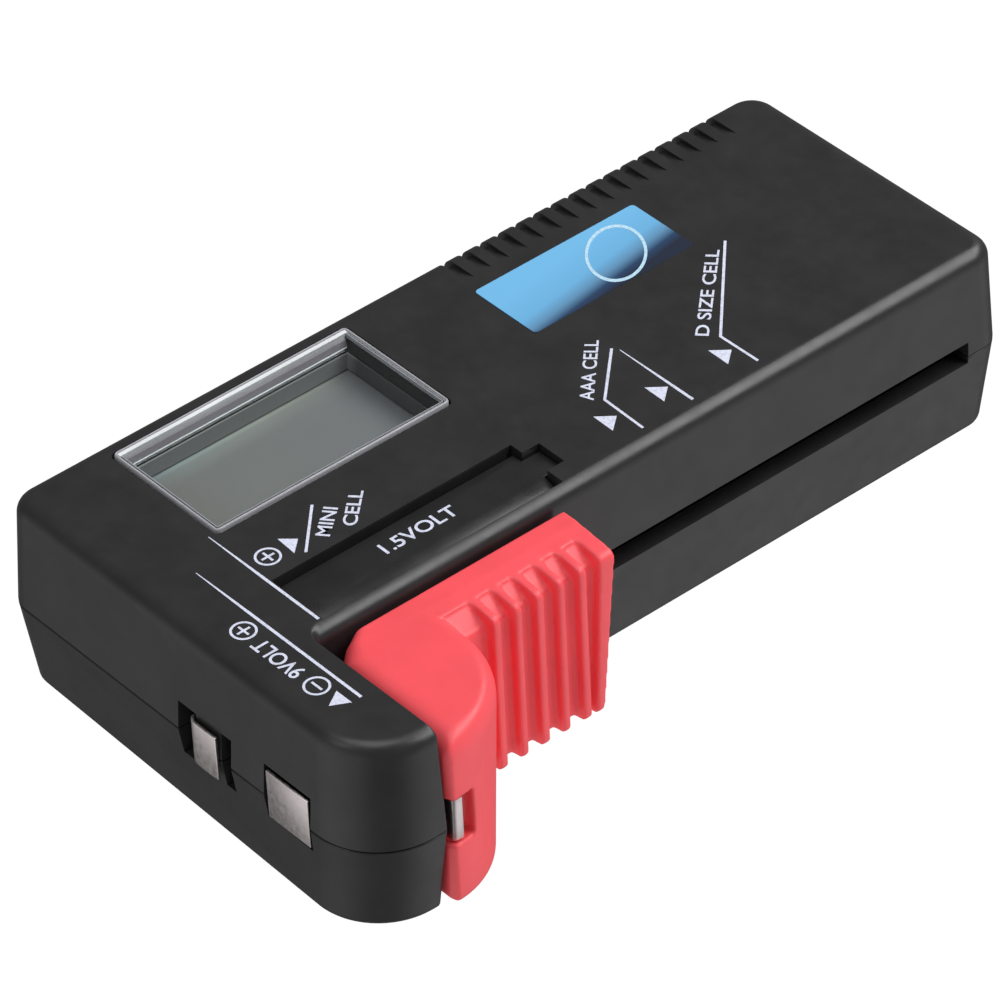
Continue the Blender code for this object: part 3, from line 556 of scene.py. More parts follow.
def leans_at(height):
    """How far the left, near, right, far and jaw end walls lean in at this height, and then
    the near wall's skew."""
    if height >= PARTING:
        share = min((height - PARTING) / (TOP - TOP_EDGE_RADIUS - PARTING), 1.0)
        return [lean * share for lean in (*UPPER_LEAN, JAW_LEAN[0], 0.0)]
    share = (PARTING - height) / PARTING
    return [lean * share for lean in (*LOWER_LEAN, JAW_LEAN[1], LOWER_SKEW)]


def case_outline(height, edge=0.0, wall=0.0, steps=12):
    """The case cut level at this height, inset by edge where it is rounded and by wall on its inner side."""
    lean_left, lean_near, lean_right, lean_far, lean_jaw, skew = leans_at(height)
    inset = edge + wall
    left, near = inset + lean_left, inset + lean_near
    right, far = BODY_WIDTH - inset - lean_right, LENGTH - inset - lean_far
    jaw = JAW_WIDTH - inset - lean_jaw
    heel = JAW_DEPTH - wall - edge * HEEL_EDGE - lean_right * HEEL_LEAN
    corner, nose, back = (max(radius - inset, LEAST_RADIUS)
                          for radius in (CORNER_RADIUS, JAW_NOSE_RADIUS, JAW_HEEL_RADIUS))
    notch = NOTCH_RADIUS + inset
    nose_end = math.asin(max(near + nose - heel + back, 0.0) / nose)
    heel_right = jaw - nose + nose * math.cos(nose_end)
    return [
        *arc((left + corner, near + skew + corner), corner, 180, 270, steps),
        *arc((jaw - nose, near + nose), nose, 270, 359.5 - math.degrees(nose_end), 2 * steps),
        *arc((heel_right - back, heel - back), back, 0, 90, steps // 2),
        *arc((right + notch, heel + notch), notch, 270, 180, steps // 2),
        *arc((right - corner, far - corner), corner, 0, 90, steps),
        *arc((left + corner, far - corner), corner, 90, 180, steps),
    ]


def put_shell(build, outer, inner):
    """A wall between outer and inner (height, edge, wall) sections that both start from the open rim."""
    put_loft(build, [level(case_outline(*section), section[0]) for section in [*reversed(outer), *inner]])


def cut_grooves(obj):
    """Finger grooves over the left top edge, round at the bottom and running out on the top."""
    floor, left = TOP - GROOVE_DEPTH, GROOVE_DEPTH + UPPER_LEAN[0]
    outside, above = -1.0, TOP + 2
    profile = [(outside, 14.6), (left, 15.8),
               *reversed(arc((left + GROOVE_ROUND, floor - GROOVE_ROUND), GROOVE_ROUND, 90, 180, 8)),
               (3.2, floor + 0.05), (4.4, floor + 0.28), (GROOVE_RIGHT, TOP + 0.05), (GROOVE_RIGHT, above),
               (outside, above)]
    build = bmesh.new()
    for index in range(GROOVES):
        near = GROOVE_START + index * GROOVE_PITCH
        along_y(build, profile, near, near + GROOVE_WIDTH)
    combine(obj, build)


def cut_shared_openings(obj):
    """Slot, contact openings on the near face, and the opening in the back of the jaw."""
    near, far = CONTACT_OPENING
    slot_end = TONGUE_FAR + TRAVEL + TONGUE_PLAY
    combine_boxes(
        obj,
        ((SLOT_SIDES[0], SLOT_START, SLOT_LOW), (SLOT_SIDES[1], slot_end, SLOT_HIGH)),
        ((PLATE_LOW.x - 0.5, near, PLATE_LOW.z - 0.3), (PLATE_HIGH.x + 0.3, far, PLATE_HIGH.z + 0.5)),
        *[((left, near, BOW_LOW.z - 1.0), (right, far, BOW_HIGH.z + 0.5)) for left, right in BOW_OPENINGS],
        JAW_OPENING)


def finish_shell(obj, node):
    rounded(obj, EDGE_BREAK)
    flat_faced(smooth_shaded(obj))
    finish_piece(obj, "case", BLACK, "black_abs", node)


def top_cover():
    rim = PARTING + SEAM
    shoulder = TOP - TOP_EDGE_RADIUS
    outer = [(rim, RIM_BREAK, 0.0), (rim + RIM_BREAK, 0.0, 0.0)]
    for turn in turns(0, 90, 8):
        height = shoulder + TOP_EDGE_RADIUS * math.sin(turn)
        outer.append((height, TOP_EDGE_RADIUS * (1 - math.cos(turn)), 0.0))
    build = bmesh.new()
    put_shell(build, outer, [(rim, 0.0, WALL), (CEILING, 0.0, WALL)])
    obj = mesh_object("case_top", build)

    cut = bmesh.new()
    put_loft(cut, [level(window_outline(-PANEL_GAP), z) for z in (WINDOW_SILL_TOP, OPENING_HIGH)])
    put_box(cut, (PANEL_LEFT - 0.7, PANEL_LOW.y + 0.5, OPENING_LOW),
            (PANEL_HIGH.x + PANEL_GAP, PANEL_FAR + PANEL_GAP, OPENING_HIGH))
    combine(obj, cut)
    combine_boxes(
        obj,
        ((WINDOW_LOW.x + WINDOW_SILL, WINDOW_LOW.y + WINDOW_SILL, OPENING_LOW),
         (WINDOW_HIGH.x - WINDOW_SILL, WINDOW_HIGH.y - WINDOW_SILL, WINDOW_SILL_TOP + 0.6)),
        ((TAB_LEFT - TAB_GAP, PANEL_FAR - 0.5, OPENING_LOW),
         (TAB_RIGHT + TAB_GAP, TAB_FAR + TAB_GAP, OPENING_HIGH)))
    cut_grooves(obj)
    cut_shared_openings(obj)
    finish_shell(obj, "top_shell")


def seam_lip():
    """The lip inside the joint of the two shells, which keeps light out."""
    build = bmesh.new()
    put_band(build, [level(case_outline(z, 0.0, WALL + inset), z)
                     for z, inset in ((LIP_LOW, LIP_GAP), (LIP_HIGH, LIP_GAP), (LIP_HIGH, LIP_DEPTH),
                                      (LIP_LOW, LIP_DEPTH))])
    obj = mesh_object("case_lip", build)
    cut_shared_openings(obj)
    finish_piece(obj, "case", BLACK, "black_abs")


def bottom_cover():
    rim, inside = PARTING - SEAM, WALL - 0.6  # the posts start inside the floor
    outer = [(rim, RIM_BREAK, 0.0), (rim - RIM_BREAK, 0.0, 0.0)]
    for turn in turns(90, 0, 6):
        height = LOW_EDGE_RADIUS * (1 - math.cos(turn))
        outer.append((height, LOW_EDGE_RADIUS * (1 - math.sin(turn)), 0.0))
    build = bmesh.new()
    put_shell(build, outer, [(rim, 0.0, WALL), (WALL, 0.0, WALL)])
    obj = mesh_object("case_bottom", build)
    cut_shared_openings(obj)
    posts, wells, holes = bmesh.new(), bmesh.new(), bmesh.new()
    for node in sorted(NODES):
        if node.startswith("case_screw"):
            low, high = cad(node)
            x, y = (low.x + high.x) / 2, (low.y + high.y) / 2
            put_rod(posts, (x, y, inside), (x, y, POST_TOP), POST_RADIUS)
            put_rod(wells, (x, y, -1.0), (x, y, SCREW_WELL_TOP), SCREW_WELL_RADIUS)
            put_rod(holes, (x, y, 2.0), (x, y, 14.0), SCREW_HOLE_RADIUS)
    put_box(posts, *SHOE_RAIL)
    combine(obj, posts, "UNION")
    combine(obj, wells)
    combine(obj, holes)
    finish_shell(obj, "bottom_shell")


# Display and inset panel

def window_outline(inset, steps=6):
    low = Vector((WINDOW_LOW.x + inset, WINDOW_LOW.y + inset))
    high = Vector((WINDOW_HIGH.x - inset, WINDOW_HIGH.y - inset))
    return rounded_rectangle(low, high, max(WINDOW_ROUND - inset, 0.15), steps)


def put_frame(build, sections):
    """A closed ring round the window through (height, inset) sections."""
    put_band(build, [level(window_outline(inset), z) for z, inset in sections])


def window_strip(name, profile, near, far, material):
    build = bmesh.new()
    along_y(build, profile, near, far)
    finish_piece(mesh_object(name, build), "case", material, "clear_window")


def window():
    """Clear lens in a polished edge painted pale as a painted highlight, broadest on the left where a white
    bar of painted light runs along it.
    """
    top, lens_under, edge_under, step = WINDOW_HIGH.z, 25.05, 24.3, 24.9
    build = bmesh.new()
    put_loft(build, [level(window_outline(WINDOW_EDGE), z) for z in (lens_under, top - 0.1)])
    finish_piece(mesh_object("window_lens", build), "case", CLEAR, "clear_window", "display_window")

    build = bmesh.new()
    # Painted highlights: the edge and a thin ring inside it are pale grey where light catches the clear
    # acrylic
    put_frame(build, [(edge_under, WINDOW_EDGE), (edge_under, 0.0), (top - 0.22, 0.0), (top - 0.06, 0.05),
                      (top, 0.13), (top - 0.03, 0.24), (top - 0.20, 0.30), (top - 0.20, WINDOW_EDGE)])
    put_frame(build, [(step, 0.66), (step, 0.56), (top - 0.14, 0.56), (top - 0.14, 0.66)])
    rim = smooth_shaded(mesh_object("window_edge", build), 40)
    finish_piece(rim, "case", RIM_PAINTED_HIGHLIGHT, "clear_window")

    left, near, far = WINDOW_LOW.x, WINDOW_LOW.y + WINDOW_EDGE, WINDOW_HIGH.y - WINDOW_EDGE
    edge = left + WINDOW_EDGE
    # White bar painted as the light running along the left edge
    window_strip("window_painted_light_bar",
                 [(edge, edge_under + 0.1), (left + 0.9, edge_under + 0.1), (left + 0.9, top - 0.1),
                  (edge, top - 0.06)],
                 near, far, RIM_PAINTED_LIGHT)
    window_strip("window_frosted_side",
                 [(left + 0.95, WINDOW_SILL_TOP), (left + 1.45, WINDOW_SILL_TOP), (left + 1.2, top - 0.75),
                  (left + 0.95, top - 0.45)],
                 near + 0.6, far - 0.5, FROST)
    # Pale rod painted as a glint of light at the foot of the frosted side
    glint, radius = (left + 1.42, WINDOW_SILL_TOP + 0.08), 0.12
    build = bmesh.new()
    put_rod(build, (glint[0], near + 0.9, glint[1]), (glint[0], far - 0.6, glint[1]), radius, 12)
    finish_piece(smooth_shaded(mesh_object("window_painted_glint", build)), "case", RIM_PAINTED_LIGHT, "clear_window")


def bezel():
    """Frame over the liquid crystal panel with a dark mask on its upper face."""
    x0, x1 = WINDOW_LOW.x + 1.8, WINDOW_HIGH.x - 1.2
    y0, y1 = WINDOW_LOW.y + 1.4, WINDOW_HIGH.y - 1.3
    top, gap = 23.6, 0.3
    build = bmesh.new()
    put_box(build, FRAME_LOW, (FRAME_HIGH.x, FRAME_HIGH.y, top))
    obj = mesh_object("display_bezel", build)
    combine_boxes(obj, ((LCD_LOW.x - gap, LCD_LOW.y - gap, 16.0),
                        (LCD_HIGH.x + gap, LCD_HIGH.y + gap, LCD_HIGH.z + 0.12)))
    cut = bmesh.new()
    put_loft(cut, [level(((x0 + s, y0 + s), (x1 - s, y0 + s), (x1 - s, y1 - s), (x0 + s, y1 - s)), z)
                   for z, s in ((21.0, 0.4), (LCD_HIGH.z + 0.1, 0.4), (top + 0.1, 0.0))])
    combine(obj, cut)
    rounded(obj, 0.08, 1)
    smooth_shaded(obj)
    finish_piece(obj, "case", WELL, "frame_plastic", "display_frame")

    left, right = WINDOW_LOW.x + 0.5, WINDOW_HIGH.x - 0.45
    near, far = WINDOW_LOW.y + 0.45, WINDOW_HIGH.y - 0.45
    outer = [(left, near), (right, near), (right, far), (left, far)]
    inner = [(x0 - 0.1, y0 - 0.1), (x1 + 0.1, y0 - 0.1), (x1 + 0.1, y1 + 0.1), (x0 - 0.1, y1 + 0.1)]
    build = bmesh.new()
    put_band(build, [level(outline, z) for outline, z in ((outer, top + 0.05), (outer, 24.9), (inner, 23.85),
                                                          (inner, top + 0.05))])
    finish_piece(mesh_object("display_mask", build), "case", BLACK_GLOSS, "black_abs")


def lcd():
    build = bmesh.new()
    put_box(build, LCD_LOW, LCD_HIGH)
    obj = rounded(mesh_object("lcd_glass_cell", build), 0.12)
    smooth_shaded(obj)
    finish_piece(obj, "case", LCD, "lcd_glass", "lcd_panel")


def inset_panel():
    """The lowered panel with the slope along its right edge and its tab."""
    right, chamfer = PANEL_HIGH.x, 0.3
    slope_end = PANEL_TOP - PANEL_SLOPE[1]
    profile = [(PANEL_LEFT, PANEL_UNDER), (right, PANEL_UNDER), (right, slope_end - chamfer),
               (right - chamfer, slope_end), (right - PANEL_SLOPE[0], PANEL_TOP), (PANEL_LEFT, PANEL_TOP)]
    build = bmesh.new()
    along_y(build, profile, PANEL_NEAR, PANEL_FAR)
    obj = mesh_object("cell_panel", build)
    tab = ((TAB_LEFT, PANEL_FAR - 1.0, OPENING_LOW), (TAB_RIGHT, TAB_FAR, PANEL_TOP))
    combine_boxes(obj, tab, operation="UNION")
    rounded(obj, 0.15, angle=20)
    smooth_shaded(obj)
    finish_piece(obj, "case", BLACK_GLOSS, "black_abs", "inset_panel")


def sticker():
    build = bmesh.new()
    outline = rounded_rectangle(LABEL_LOW, LABEL_HIGH, 0.5, 5)
    put_loft(build, [level(outline, z) for z in (TOP - 0.05, TOP + 0.08)])
    finish_piece(mesh_object("sticker", build), "case", STICKER, "blue_label", "name_label")


# Slider

def arm_outline(height, inset, front_inset=None, steps=20):
    """The arm cut level at this height: chamfered by the wall, flat at the jaw, rounded away at its end."""
    front_inset = inset if front_inset is None else front_inset
    back = ARM_BACK + ARM_DRAFT * (height - ARM_DRAFT_FROM) - inset
    left, front, corner = SLIDER_LEFT + 0.2 * inset, ARM_FRONT + front_inset, front_inset * 0.5
    middle, end = max(front + 0.1, ARM_CENTRE.y), SLIDER_HIGH.x
    points = [Vector((left, ARM_CHAMFER[0] + corner)),
              Vector((ARM_CHAMFER[1][0] + corner, ARM_CHAMFER[1][1] + corner)),
              Vector((ARM_CHAMFER[2] + corner, front)),
              Vector((end - 1.0 - inset * 0.7, front))]
    for turn in turns(0, 90, steps):
        points.append(Vector((ARM_CENTRE.x + (end - ARM_CENTRE.x - inset) * math.cos(turn),
                              middle + (back - middle) * math.sin(turn))))
    points.append(Vector((left, back)))
    return points


def arm_fall(x):
    """How far the arm's top falls towards its end."""
    return ARM_FALL * max((x - ARM_FALL_FROM) / (SLIDER_HIGH.x - ARM_FALL_FROM), 0.0) ** 2


def grip_profile(inset, steps=12):
    """XZ section of the grip round its right side, from the lower to the upper edge."""
    centre = GRIP_RIGHT - inset - GRIP_RADIUS
    low = GRIP_LOW + inset * 0.2 + GRIP_RADIUS
    high = SLIDER_HIGH.z - GRIP_FALL - inset - GRIP_RADIUS
    return [*arc((centre, low), GRIP_RADIUS, 270, 360, steps),
            *arc((centre, high), GRIP_RADIUS, 0, 80, steps)]


def grip():
    """The grip as a plain block, its far end leaning out towards the top."""
    high = SLIDER_HIGH.z
    outline = [(SLIDER_LEFT, GRIP_LOW), *grip_profile(0.0), (GRIP_FLAT, high), (SLIDER_LEFT + 0.4, high),
               (SLIDER_LEFT, high - 0.6)]
    near, far = [], []
    for x, z in outline:
        foot = GRIP_FOOT_DRAFT * max(GRIP_FOOT - z, 0.0) ** 2
        near.append(Vector((x, TONGUE_NEAR, z)))
        far.append(Vector((x, GRIP_END - GRIP_END_DRAFT * (high - z) - foot, z)))
    build = bmesh.new()
    put_loft(build, [near, far])
    bmesh.ops.triangulate(build, faces=list(build.faces))
    return mesh_object("slider_body", build)


def cut_grip_grooves(obj):
    """The grooves between the ribs, over the grip's top and right side."""
    high, margin = SLIDER_HIGH.z, 2
    floor = grip_profile(RIB_HEIGHT)
    right, top, bottom = GRIP_RIGHT + margin, high + margin, GRIP_LOW - margin
    groove = [(RIB_LEFT, bottom), (right, bottom), (right, top), (RIB_LEFT, top),
              (RIB_LEFT + 0.1, high - 0.5), *reversed(floor), (RIB_LEFT, floor[0][1])]
    cut = bmesh.new()
    for index in range(RIBS):
        far = RIB_START + index * RIB_PITCH
        near = far - RIB_PITCH + RIB_WIDTH if index else FIRST_GROOVE
        lean = LAST_GROOVE_LEAN if index == RIBS - 1 else 0.0
        put_loft(cut, [[Vector((x, near, z)) for x, z in groove],
                       [Vector((x, far - lean * (high - z), z)) for x, z in groove]])
    combine(obj, cut)


def join_arm(obj):
    low, high = SLIDER_LOW.z, SLIDER_HIGH.z
    rings = []
    for turn in turns(0, 90, 6):
        height = low + ARM_EDGE * (1 - math.cos(turn))
        rings.append(level(arm_outline(height, ARM_EDGE * (1 - math.sin(turn))), height))
    for turn in turns(0, 90, 8):
        out, height = 1 - math.cos(turn), high - ARM_FRONT_EDGE * (1 - math.sin(turn))
        rings.append([Vector((*p, height - arm_fall(p.x)))
                      for p in arm_outline(height, ARM_TOP_EDGE * out, ARM_FRONT_EDGE * out)])
    arm = bmesh.new()
    put_loft(arm, rings)
    bmesh.ops.triangulate(arm, faces=list(arm.faces))
    combine(obj, arm, "UNION")


def slider_body():
    """The red slider. Remeshing it finely gives every edge the soft rounding of a moulding."""
    obj = grip()
    cut_grip_grooves(obj)
    join_arm(obj)
    tongue = ((TONGUE_SIDES[0], TONGUE_NEAR, SLOT_LOW + TONGUE_PLAY),
              (TONGUE_SIDES[1], TONGUE_FAR, SLOT_HIGH - TONGUE_PLAY))
    combine_boxes(obj, tongue, operation="UNION")
    # The contact's recess in the arm's front, then the notches that its two ends bend back into
    low, high, tip = 9.0, 15.2, 63.0
    recess_left, near = 44.3, ARM_FRONT + 0.5
    combine_boxes(obj, ((recess_left, ARM_FRONT - 1.0, low), (tip, ARM_FRONT + 1.25, high)))
    combine_boxes(obj, ((60.2, near, low), (tip, 14.4, high)), ((recess_left, near, low), (45.6, 19.0, high)))

    fine = obj.modifiers.new("fine", "REMESH")
    fine.mode = "VOXEL"
    fine.voxel_size = VOXEL * MM
    fine.use_smooth_shade = True
    soften = obj.modifiers.new("soften", "SMOOTH")
    soften.factor = 0.5
    soften.iterations = 5
    baked(obj)
    obj.data.shade_smooth()
    finish_piece(obj, "slider", RED, "red_abs", "slider_arm")


# Contacts

def ribbon(name, path, low, high):
    """Sheet metal on edge along a plan path."""
    build = bmesh.new()
    rows = [[build.verts.new((x, y, z)) for x, y in path] for z in (low, high)]
    for i in range(len(path) - 1):
        build.faces.new((rows[0][i], rows[0][i + 1], rows[1][i + 1], rows[1][i]))
    obj = mesh_object(name, build)
    sheet = obj.modifiers.new("sheet", "SOLIDIFY")
    sheet.thickness = SHEET * MM
    sheet.offset = 0.0
    sheet.use_even_offset = True
    baked(obj)
    rounded(obj, BEND_BREAK, angle=50)
    return smooth_shaded(obj, 40)


def smoothed(stops, steps=6):
    """Points along a smooth curve through the stops."""
    stops = [Vector(s) for s in stops]
    padded = [2 * stops[0] - stops[1], *stops, 2 * stops[-1] - stops[-2]]
    route = []
    for a, b, c, d in zip(padded, padded[1:], padded[2:], padded[3:]):
        for i in range(steps):
            t = i / steps
            route.append(0.5 * (2 * b + (c - a) * t + (2 * a - 5 * b + 4 * c - d) * t * t
                                + (3 * b - a - 3 * c + d) * t ** 3))
    return [*route, stops[-1]]


def nine_volt_contacts():
    crown = BOW_LOW.y + SHEET / 2
    bow = [Vector((32.7, 4.6)),
           *smoothed([(32.7, 2.0), (32.7, 0.6), (32.78, 0.2), (33.05, -0.05), (33.5, crown + 0.06),
                      (34.3, crown + 0.01), (35.2, crown), (36.4, crown + 0.02), (37.25, crown + 0.06)])]
    bowed = ribbon("positive_contact", bow, BOW_LOW.z, BOW_HIGH.z)
    finish_piece(bowed, "case", NICKEL, "nickel_plate", "contact_9v_positive")

    build = bmesh.new()
    put_box(build, PLATE_LOW, (PLATE_HIGH.x, PLATE_LOW.y + SHEET, PLATE_HIGH.z))
    plate = mesh_object("negative_contact", build)
    foot = ((46.6, PLATE_LOW.y + 0.17, PLATE_LOW.z), (49.6, PLATE_HIGH.y, PLATE_LOW.z + 0.4))
    combine_boxes(plate, foot, operation="UNION")
    rounded(plate, BEND_BREAK, angle=50)
    finish_piece(smooth_shaded(plate, 40), "case", NICKEL, "nickel_plate", "contact_9v_negative")


def cell_contacts():
    """The contacts on the jaw's back and the arm's front, each with both ends bent in."""
    face = JAW_DEPTH + 0.1 - SHEET / 2
    jaw = [(47.1, 5.2),
           *smoothed([(47.1, face - 1.2), (47.15, face - 0.4), (47.5, face - 0.05), (48.4, face)], 4),
           *smoothed([(57.0, face), (57.7, face - 0.06), (57.95, face - 0.4), (58.0, face - 1.2)], 4),
           (58.0, 7.6)]
    contact = ribbon("jaw_contact", jaw, *JAW_CONTACT)
    finish_piece(contact, "case", NICKEL, "nickel_plate", "contact_jaw")

    face = ARM_FRONT + CONTACT_RECESS + SHEET / 2
    arm = [(44.9, 17.0),
           *smoothed([(44.9, face + 1.4), (44.95, face + 0.4), (45.3, face + 0.05), (46.2, face)], 4),
           *smoothed([(60.5, face), (61.25, face + 0.06), (61.47, face + 0.3), (61.5, face + 0.7)], 4),
           (61.5, 12.9)]
    contact = ribbon("arm_contact", arm, *ARM_CONTACT)
    finish_piece(contact, "slider", NICKEL, "nickel_plate", "contact_arm")


# Printing

def put_flat(build, outline):
    """A patch of ink through the outline's points."""
    put_loft(build, [level(outline, z) for z in (INK_LOW, INK_HIGH)])


def put_line(build, points, width=0.32):
    """A printed line through points, with square mitres."""
    points = [Vector(p) for p in points]
    left, right = [], []
    for i, point in enumerate(points):
        before = (point - points[i - 1]).normalized() if i else None
        after = (points[i + 1] - point).normalized() if i + 1 < len(points) else None
        if before is None or after is None:
            way = after if before is None else before
            side = Vector((-way.y, way.x)) * width / 2
        else:
            mitre = (before + after).normalized()
            side = Vector((-mitre.y, mitre.x)) * width / 2 / max(mitre.dot(after), 0.3)
        left.append(point + side)
        right.append(point - side)
    put_flat(build, [*right, *reversed(left)])


def put_ring(build, centre, radius, width=0.28, steps=40):
    outer = arc(centre, radius, 0, 360 - 360 / steps, steps - 1)
    inner = arc(centre, radius - width, 0, 360 - 360 / steps, steps - 1)
    put_band(build, [level(ring, z) for ring, z in ((outer, INK_LOW), (outer, INK_HIGH), (inner, INK_HIGH),
                                                    (inner, INK_LOW))])


def put_sign(build, centre, upright):
    """A plus in a ring, or without its upright a minus."""
    x, y = centre
    size, width = 0.85, 0.28
    put_ring(build, centre, 1.5)
    put_line(build, [(x - size, y), (x + size, y)], width)
    if upright:
        put_line(build, [(x, y + width / 2), (x, y + size)], width)
        put_line(build, [(x, y - size), (x, y - width / 2)], width)


def put_taper(build, start, end):
    """A printed line that starts thin and reaches its full width after a run."""
    width, thin, run = 0.36, 0.10, 9.0
    start, end = Vector(start), Vector(end)
    way = (end - start).normalized()
    side, full = Vector((-way.y, way.x)) / 2, start + way * run
    put_flat(build, [start - side * thin, full - side * width, end - side * width, end + side * width,
                     full + side * width, start + side * thin])


def marks():
    """Lines, arrows and signs on the top: by the jaw and the window, then the D to AAA size scale."""
    build = bmesh.new()
    put_taper(build, (20.8, 12.75), (39.3, 12.75))
    put_taper(build, (24.6, 8.05), (52.0, 8.05))
    put_line(build, [(24.2, 24.2), (29.9, 18.7)])
    put_flat(build, [(26.1, 17.9), (29.2, 17.7), (27.6, 19.5)])
    put_sign(build, (27.7, 15.3), upright=True)
    put_sign(build, (35.4, 5.8), upright=True)
    put_sign(build, (47.5, 5.8), upright=False)
    put_flat(build, [(49.5, 6.8), (50.8, 4.7), (52.0, 6.8)])

    put_line(build, [(19.8, 87.4), (32.4, 75.4), (38.4, 75.5)])
    put_taper(build, (26.6, 65.8), (38.6, 65.8))
    put_line(build, [(25.8, 65.3), (32.1, 58.8), (38.6, 58.6)])
    for x, y in ((35.0, 74.7), (35.1, 65.3), (35.1, 57.9)):
        put_flat(build, [(x - 1.65, y - 1.95), (x + 1.65, y - 2.0), (x, y)])
    obj = mesh_object("printed_marks", build)
    finish_piece(obj, "case", INK, "black_abs")


def emblem():
    """A plain oval ring on the sticker."""
    build = bmesh.new()
    middle, half_length, half_width = (13.2, 77.0), 5.3, 3.5
    way = (-0.74, 0.67)  # of its length
    put_ring(build, (0.0, 0.0), 1.0, 0.10, 56)
    for vert in build.verts:
        along, across = vert.co.x * half_length, vert.co.y * half_width
        vert.co = (middle[0] + way[0] * along + way[1] * across,
                   middle[1] + way[1] * along - way[0] * across, vert.co.z + 0.08)
    finish_piece(mesh_object("sticker_oval", build), "case", STICKER_INK, "blue_label")


def lettering(name, words, start, end, tall, height=TOP):
    """Generic lettering lying at a height from start to end, as tall as given."""
    curve = bpy.data.curves.new(name, "FONT")
    curve.body = words
    curve.extrude = 0.5
    curve.offset = 0.012  # slightly bolder
    text = add_object(name + "_words", curve)
    mesh = evaluated_mesh(text)
    bpy.data.objects.remove(text, do_unlink=True)
    left, right = min(v.co.x for v in mesh.vertices), max(v.co.x for v in mesh.vertices)
    low, high = min(v.co.y for v in mesh.vertices), max(v.co.y for v in mesh.vertices)
    start, end = Vector(start), Vector(end)
    way = (end - start).normalized()
    wide, under = (end - start).length / (right - left), 0.45
    for vert in mesh.vertices:
        along, up = (vert.co.x - left) * wide, ((vert.co.y - low) / (high - low) - 0.5) * tall
        vert.co = at(start.x + way.x * along - way.y * up, start.y + way.y * along + way.x * up,
                     height + PRINT_HEIGHT * (vert.co.z + under))
    finish_piece(add_object(name, mesh), "case", INK, "black_abs")


def words():
    lettering("mark_cell_voltage", "1.5VOLT", (34.4, 25.4), (34.4, 35.5), 1.9, PANEL_TOP)
    lettering("mark_block_voltage", "9VOLT", (45.0, 5.6), (37.8, 5.6), 2.0)
    lettering("mark_mini", "MINI", (29.0, 21.7), (25.9, 25.4), 1.6)
    lettering("mark_cell", "CELL", (29.6, 24.9), (25.6, 29.2), 1.6)
    lettering("mark_size_d", "D SIZE CELL", (30.9, 74.0), (20.1, 85.3), 1.55)
    lettering("mark_size_aaa", "AAA CELL", (30.8, 57.3), (23.2, 64.7), 1.6)


# Carried-over nodes

def repaint(material, *nodes):
    for node in nodes:
        NODES[node].data.materials.clear()
        NODES[node].data.materials.append(material)
        smooth_shaded(NODES[node], 32)


def inner_pieces():
    repaint(BOARD, "circuit_board")
    resin = ("chip_", "electrolytic", "boost", "switching", "rectifier")
    repaint(RESIN, *[n for n in sorted(NODES) if n.startswith(resin)])
    repaint(GREY_PLASTIC, "lcd_backing")
    repaint(RUBBER, "zebra_connector")
    repaint(NICKEL, "spring_anchor")
    repaint(ZINC, *[n for n in sorted(NODES) if "_screw" in n])
    repaint(RED_WIRE, "lead_9v_positive", "lead_spring_anchor", "slider_lead")
    repaint(BLACK_WIRE, "lead_9v_negative", "lead_jaw_contact")
    repaint(BLACK, "slider_shoe")
    repaint(STEEL, "return_spring")


# Studio

CAMERA_AIM = at(25.35, 49.065, 12.6)
CAMERA_DISTANCE = 745.6 * MM
CAMERA_AZIMUTH, CAMERA_ELEVATION, CAMERA_ROLL = 51.44, 39.11, -3.035
CAMERA_LENS = 244.5
LIGHT_AIM = Vector((0.0, 0.0, 0.012))
WORLD_LIGHT = 0.14
FLOOR_HALF, FLOOR_TOP = 2500, -0.02
# Name, direction and height in degrees, distance, width and height in metres, and power in watts
SOFTBOXES = [("key", 25, 48, 1.1, 1.2, 0.6, 12.3), ("top", 180, 80, 1.0, 0.6, 0.6, 3.0),
             ("nose", 187, 43, 1.1, 0.3, 0.3, 0.8)]
# Directions that are brighter than the rest, where each starts (as a cosine), and by how much
SURROUNDINGS = [((0.65, 0.45, -0.50), 0.70, 0.60), ((-0.15, -0.95, -0.25), 0.60, 0.62)]


def camera():
    data = bpy.data.cameras.new("camera")
    data.lens = CAMERA_LENS
    data.sensor_width = 36.0
    data.clip_end = 10.0
    obj = add_object("camera", data)
    obj.matrix_world = (Matrix.Translation(CAMERA_AIM)
                        @ Matrix.Rotation(math.radians(CAMERA_AZIMUTH), 4, "Z")
                        @ Matrix.Rotation(math.radians(90 - CAMERA_ELEVATION), 4, "X")
                        @ Matrix.Rotation(math.radians(CAMERA_ROLL), 4, "Z")
                        @ Matrix.Translation((0, 0, CAMERA_DISTANCE)))
    bpy.context.scene.camera = obj


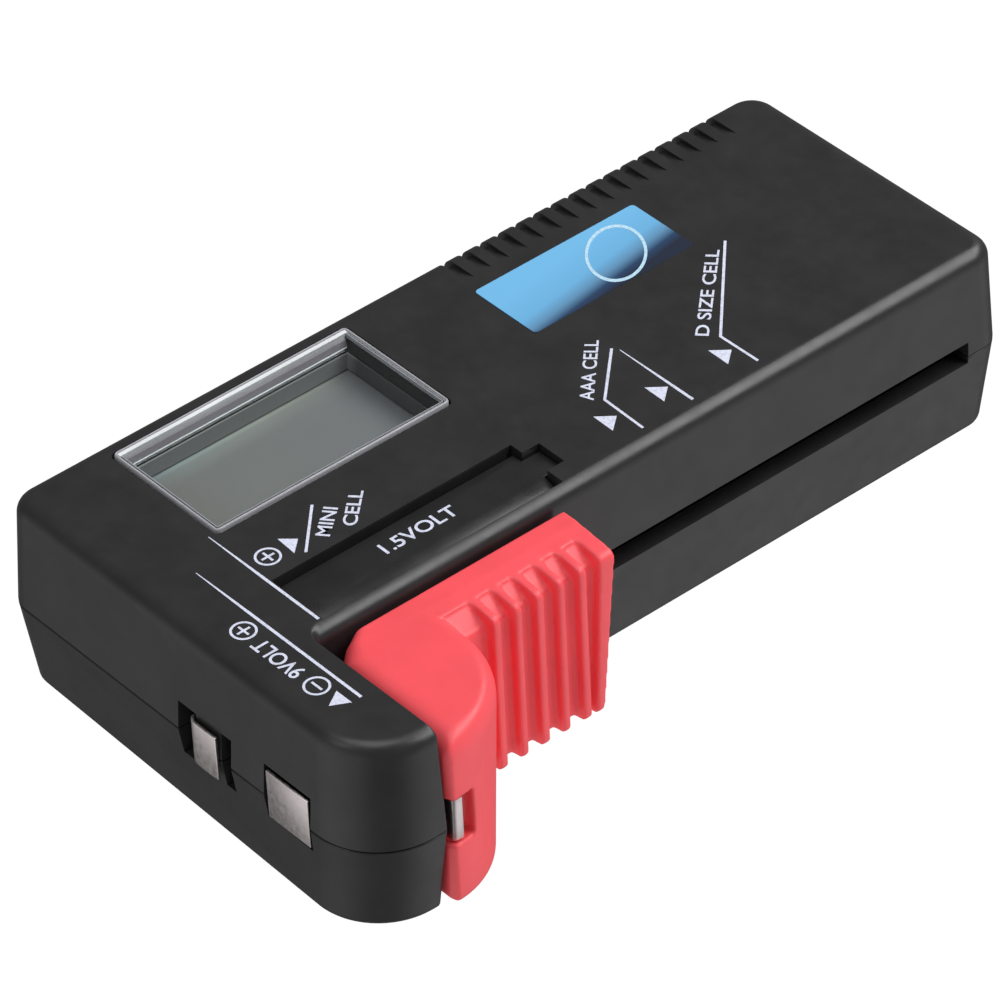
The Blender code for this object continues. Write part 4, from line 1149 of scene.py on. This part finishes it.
def softbox(name, azimuth, elevation, distance, width, height, power):
    """An area light on the compass direction azimuth from the object, 0 being +Y and 90 being +X."""
    data = bpy.data.lights.new(name, "AREA")
    data.shape = "RECTANGLE"
    data.size, data.size_y = width, height
    data.energy = power
    obj = add_object(name, data)
    turn, rise = math.radians(azimuth), math.radians(elevation)
    way = Vector((math.sin(turn) * math.cos(rise), math.cos(turn) * math.cos(rise), math.sin(rise)))
    obj.location = LIGHT_AIM + way * distance
    obj.rotation_euler = way.to_track_quat("Z", "Y").to_euler()


def studio():
    """White floor, three softboxes, and dim surroundings for the plastic to reflect."""
    world = bpy.data.worlds.new("studio")
    bpy.context.scene.world = world
    world.use_nodes = True
    tree = world.node_tree
    place = tree.nodes.new("ShaderNodeTexCoord").outputs["Generated"]
    total = None
    for direction, start, strength in SURROUNDINGS:
        dot = tree.nodes.new("ShaderNodeVectorMath")
        dot.operation = "DOT_PRODUCT"
        dot.inputs[1].default_value = Vector(direction).normalized()
        tree.links.new(place, dot.inputs[0])
        lobe = tree.nodes.new("ShaderNodeMapRange")
        lobe.interpolation_type = "SMOOTHSTEP"
        for key, value in {"From Min": start, "From Max": 1.0, "To Min": 0.0, "To Max": strength}.items():
            lobe.inputs[key].default_value = value
        tree.links.new(dot.outputs["Value"], lobe.inputs["Value"])
        add = tree.nodes.new("ShaderNodeMath")
        add.operation = "ADD"
        add.inputs[1].default_value = WORLD_LIGHT
        tree.links.new(lobe.outputs["Result"], add.inputs[0])
        if total:
            tree.links.new(total, add.inputs[1])
        total = add.outputs["Value"]
    tree.links.new(total, tree.nodes["Background"].inputs["Strength"])
    tree.nodes["Background"].inputs["Color"].default_value = (1.0, 1.0, 1.0, 1.0)

    build = bmesh.new()
    put_box(build, (-FLOOR_HALF, -FLOOR_HALF, -10), (FLOOR_HALF, FLOOR_HALF, FLOOR_TOP))
    floor = mesh_object("floor", build)
    made = Nodes("floor").set(Roughness=0.9, Specular_IOR_Level=0.0, Base_Color=(0.0, 0.0, 0.0, 1.0),
                              Emission_Color=(1.0, 1.0, 1.0, 1.0), Emission_Strength=1.02)
    floor.data.materials.append(made.material)
    floor.visible_glossy = False
    for box in SOFTBOXES:
        softbox(*box)
    bpy.context.scene.view_settings.view_transform = "Standard"


camera()
studio()
top_cover()
bottom_cover()
seam_lip()
window()
bezel()
lcd()
inset_panel()
sticker()
slider_body()
nine_volt_contacts()
cell_contacts()
marks()
emblem()
words()
inner_pieces()

import json
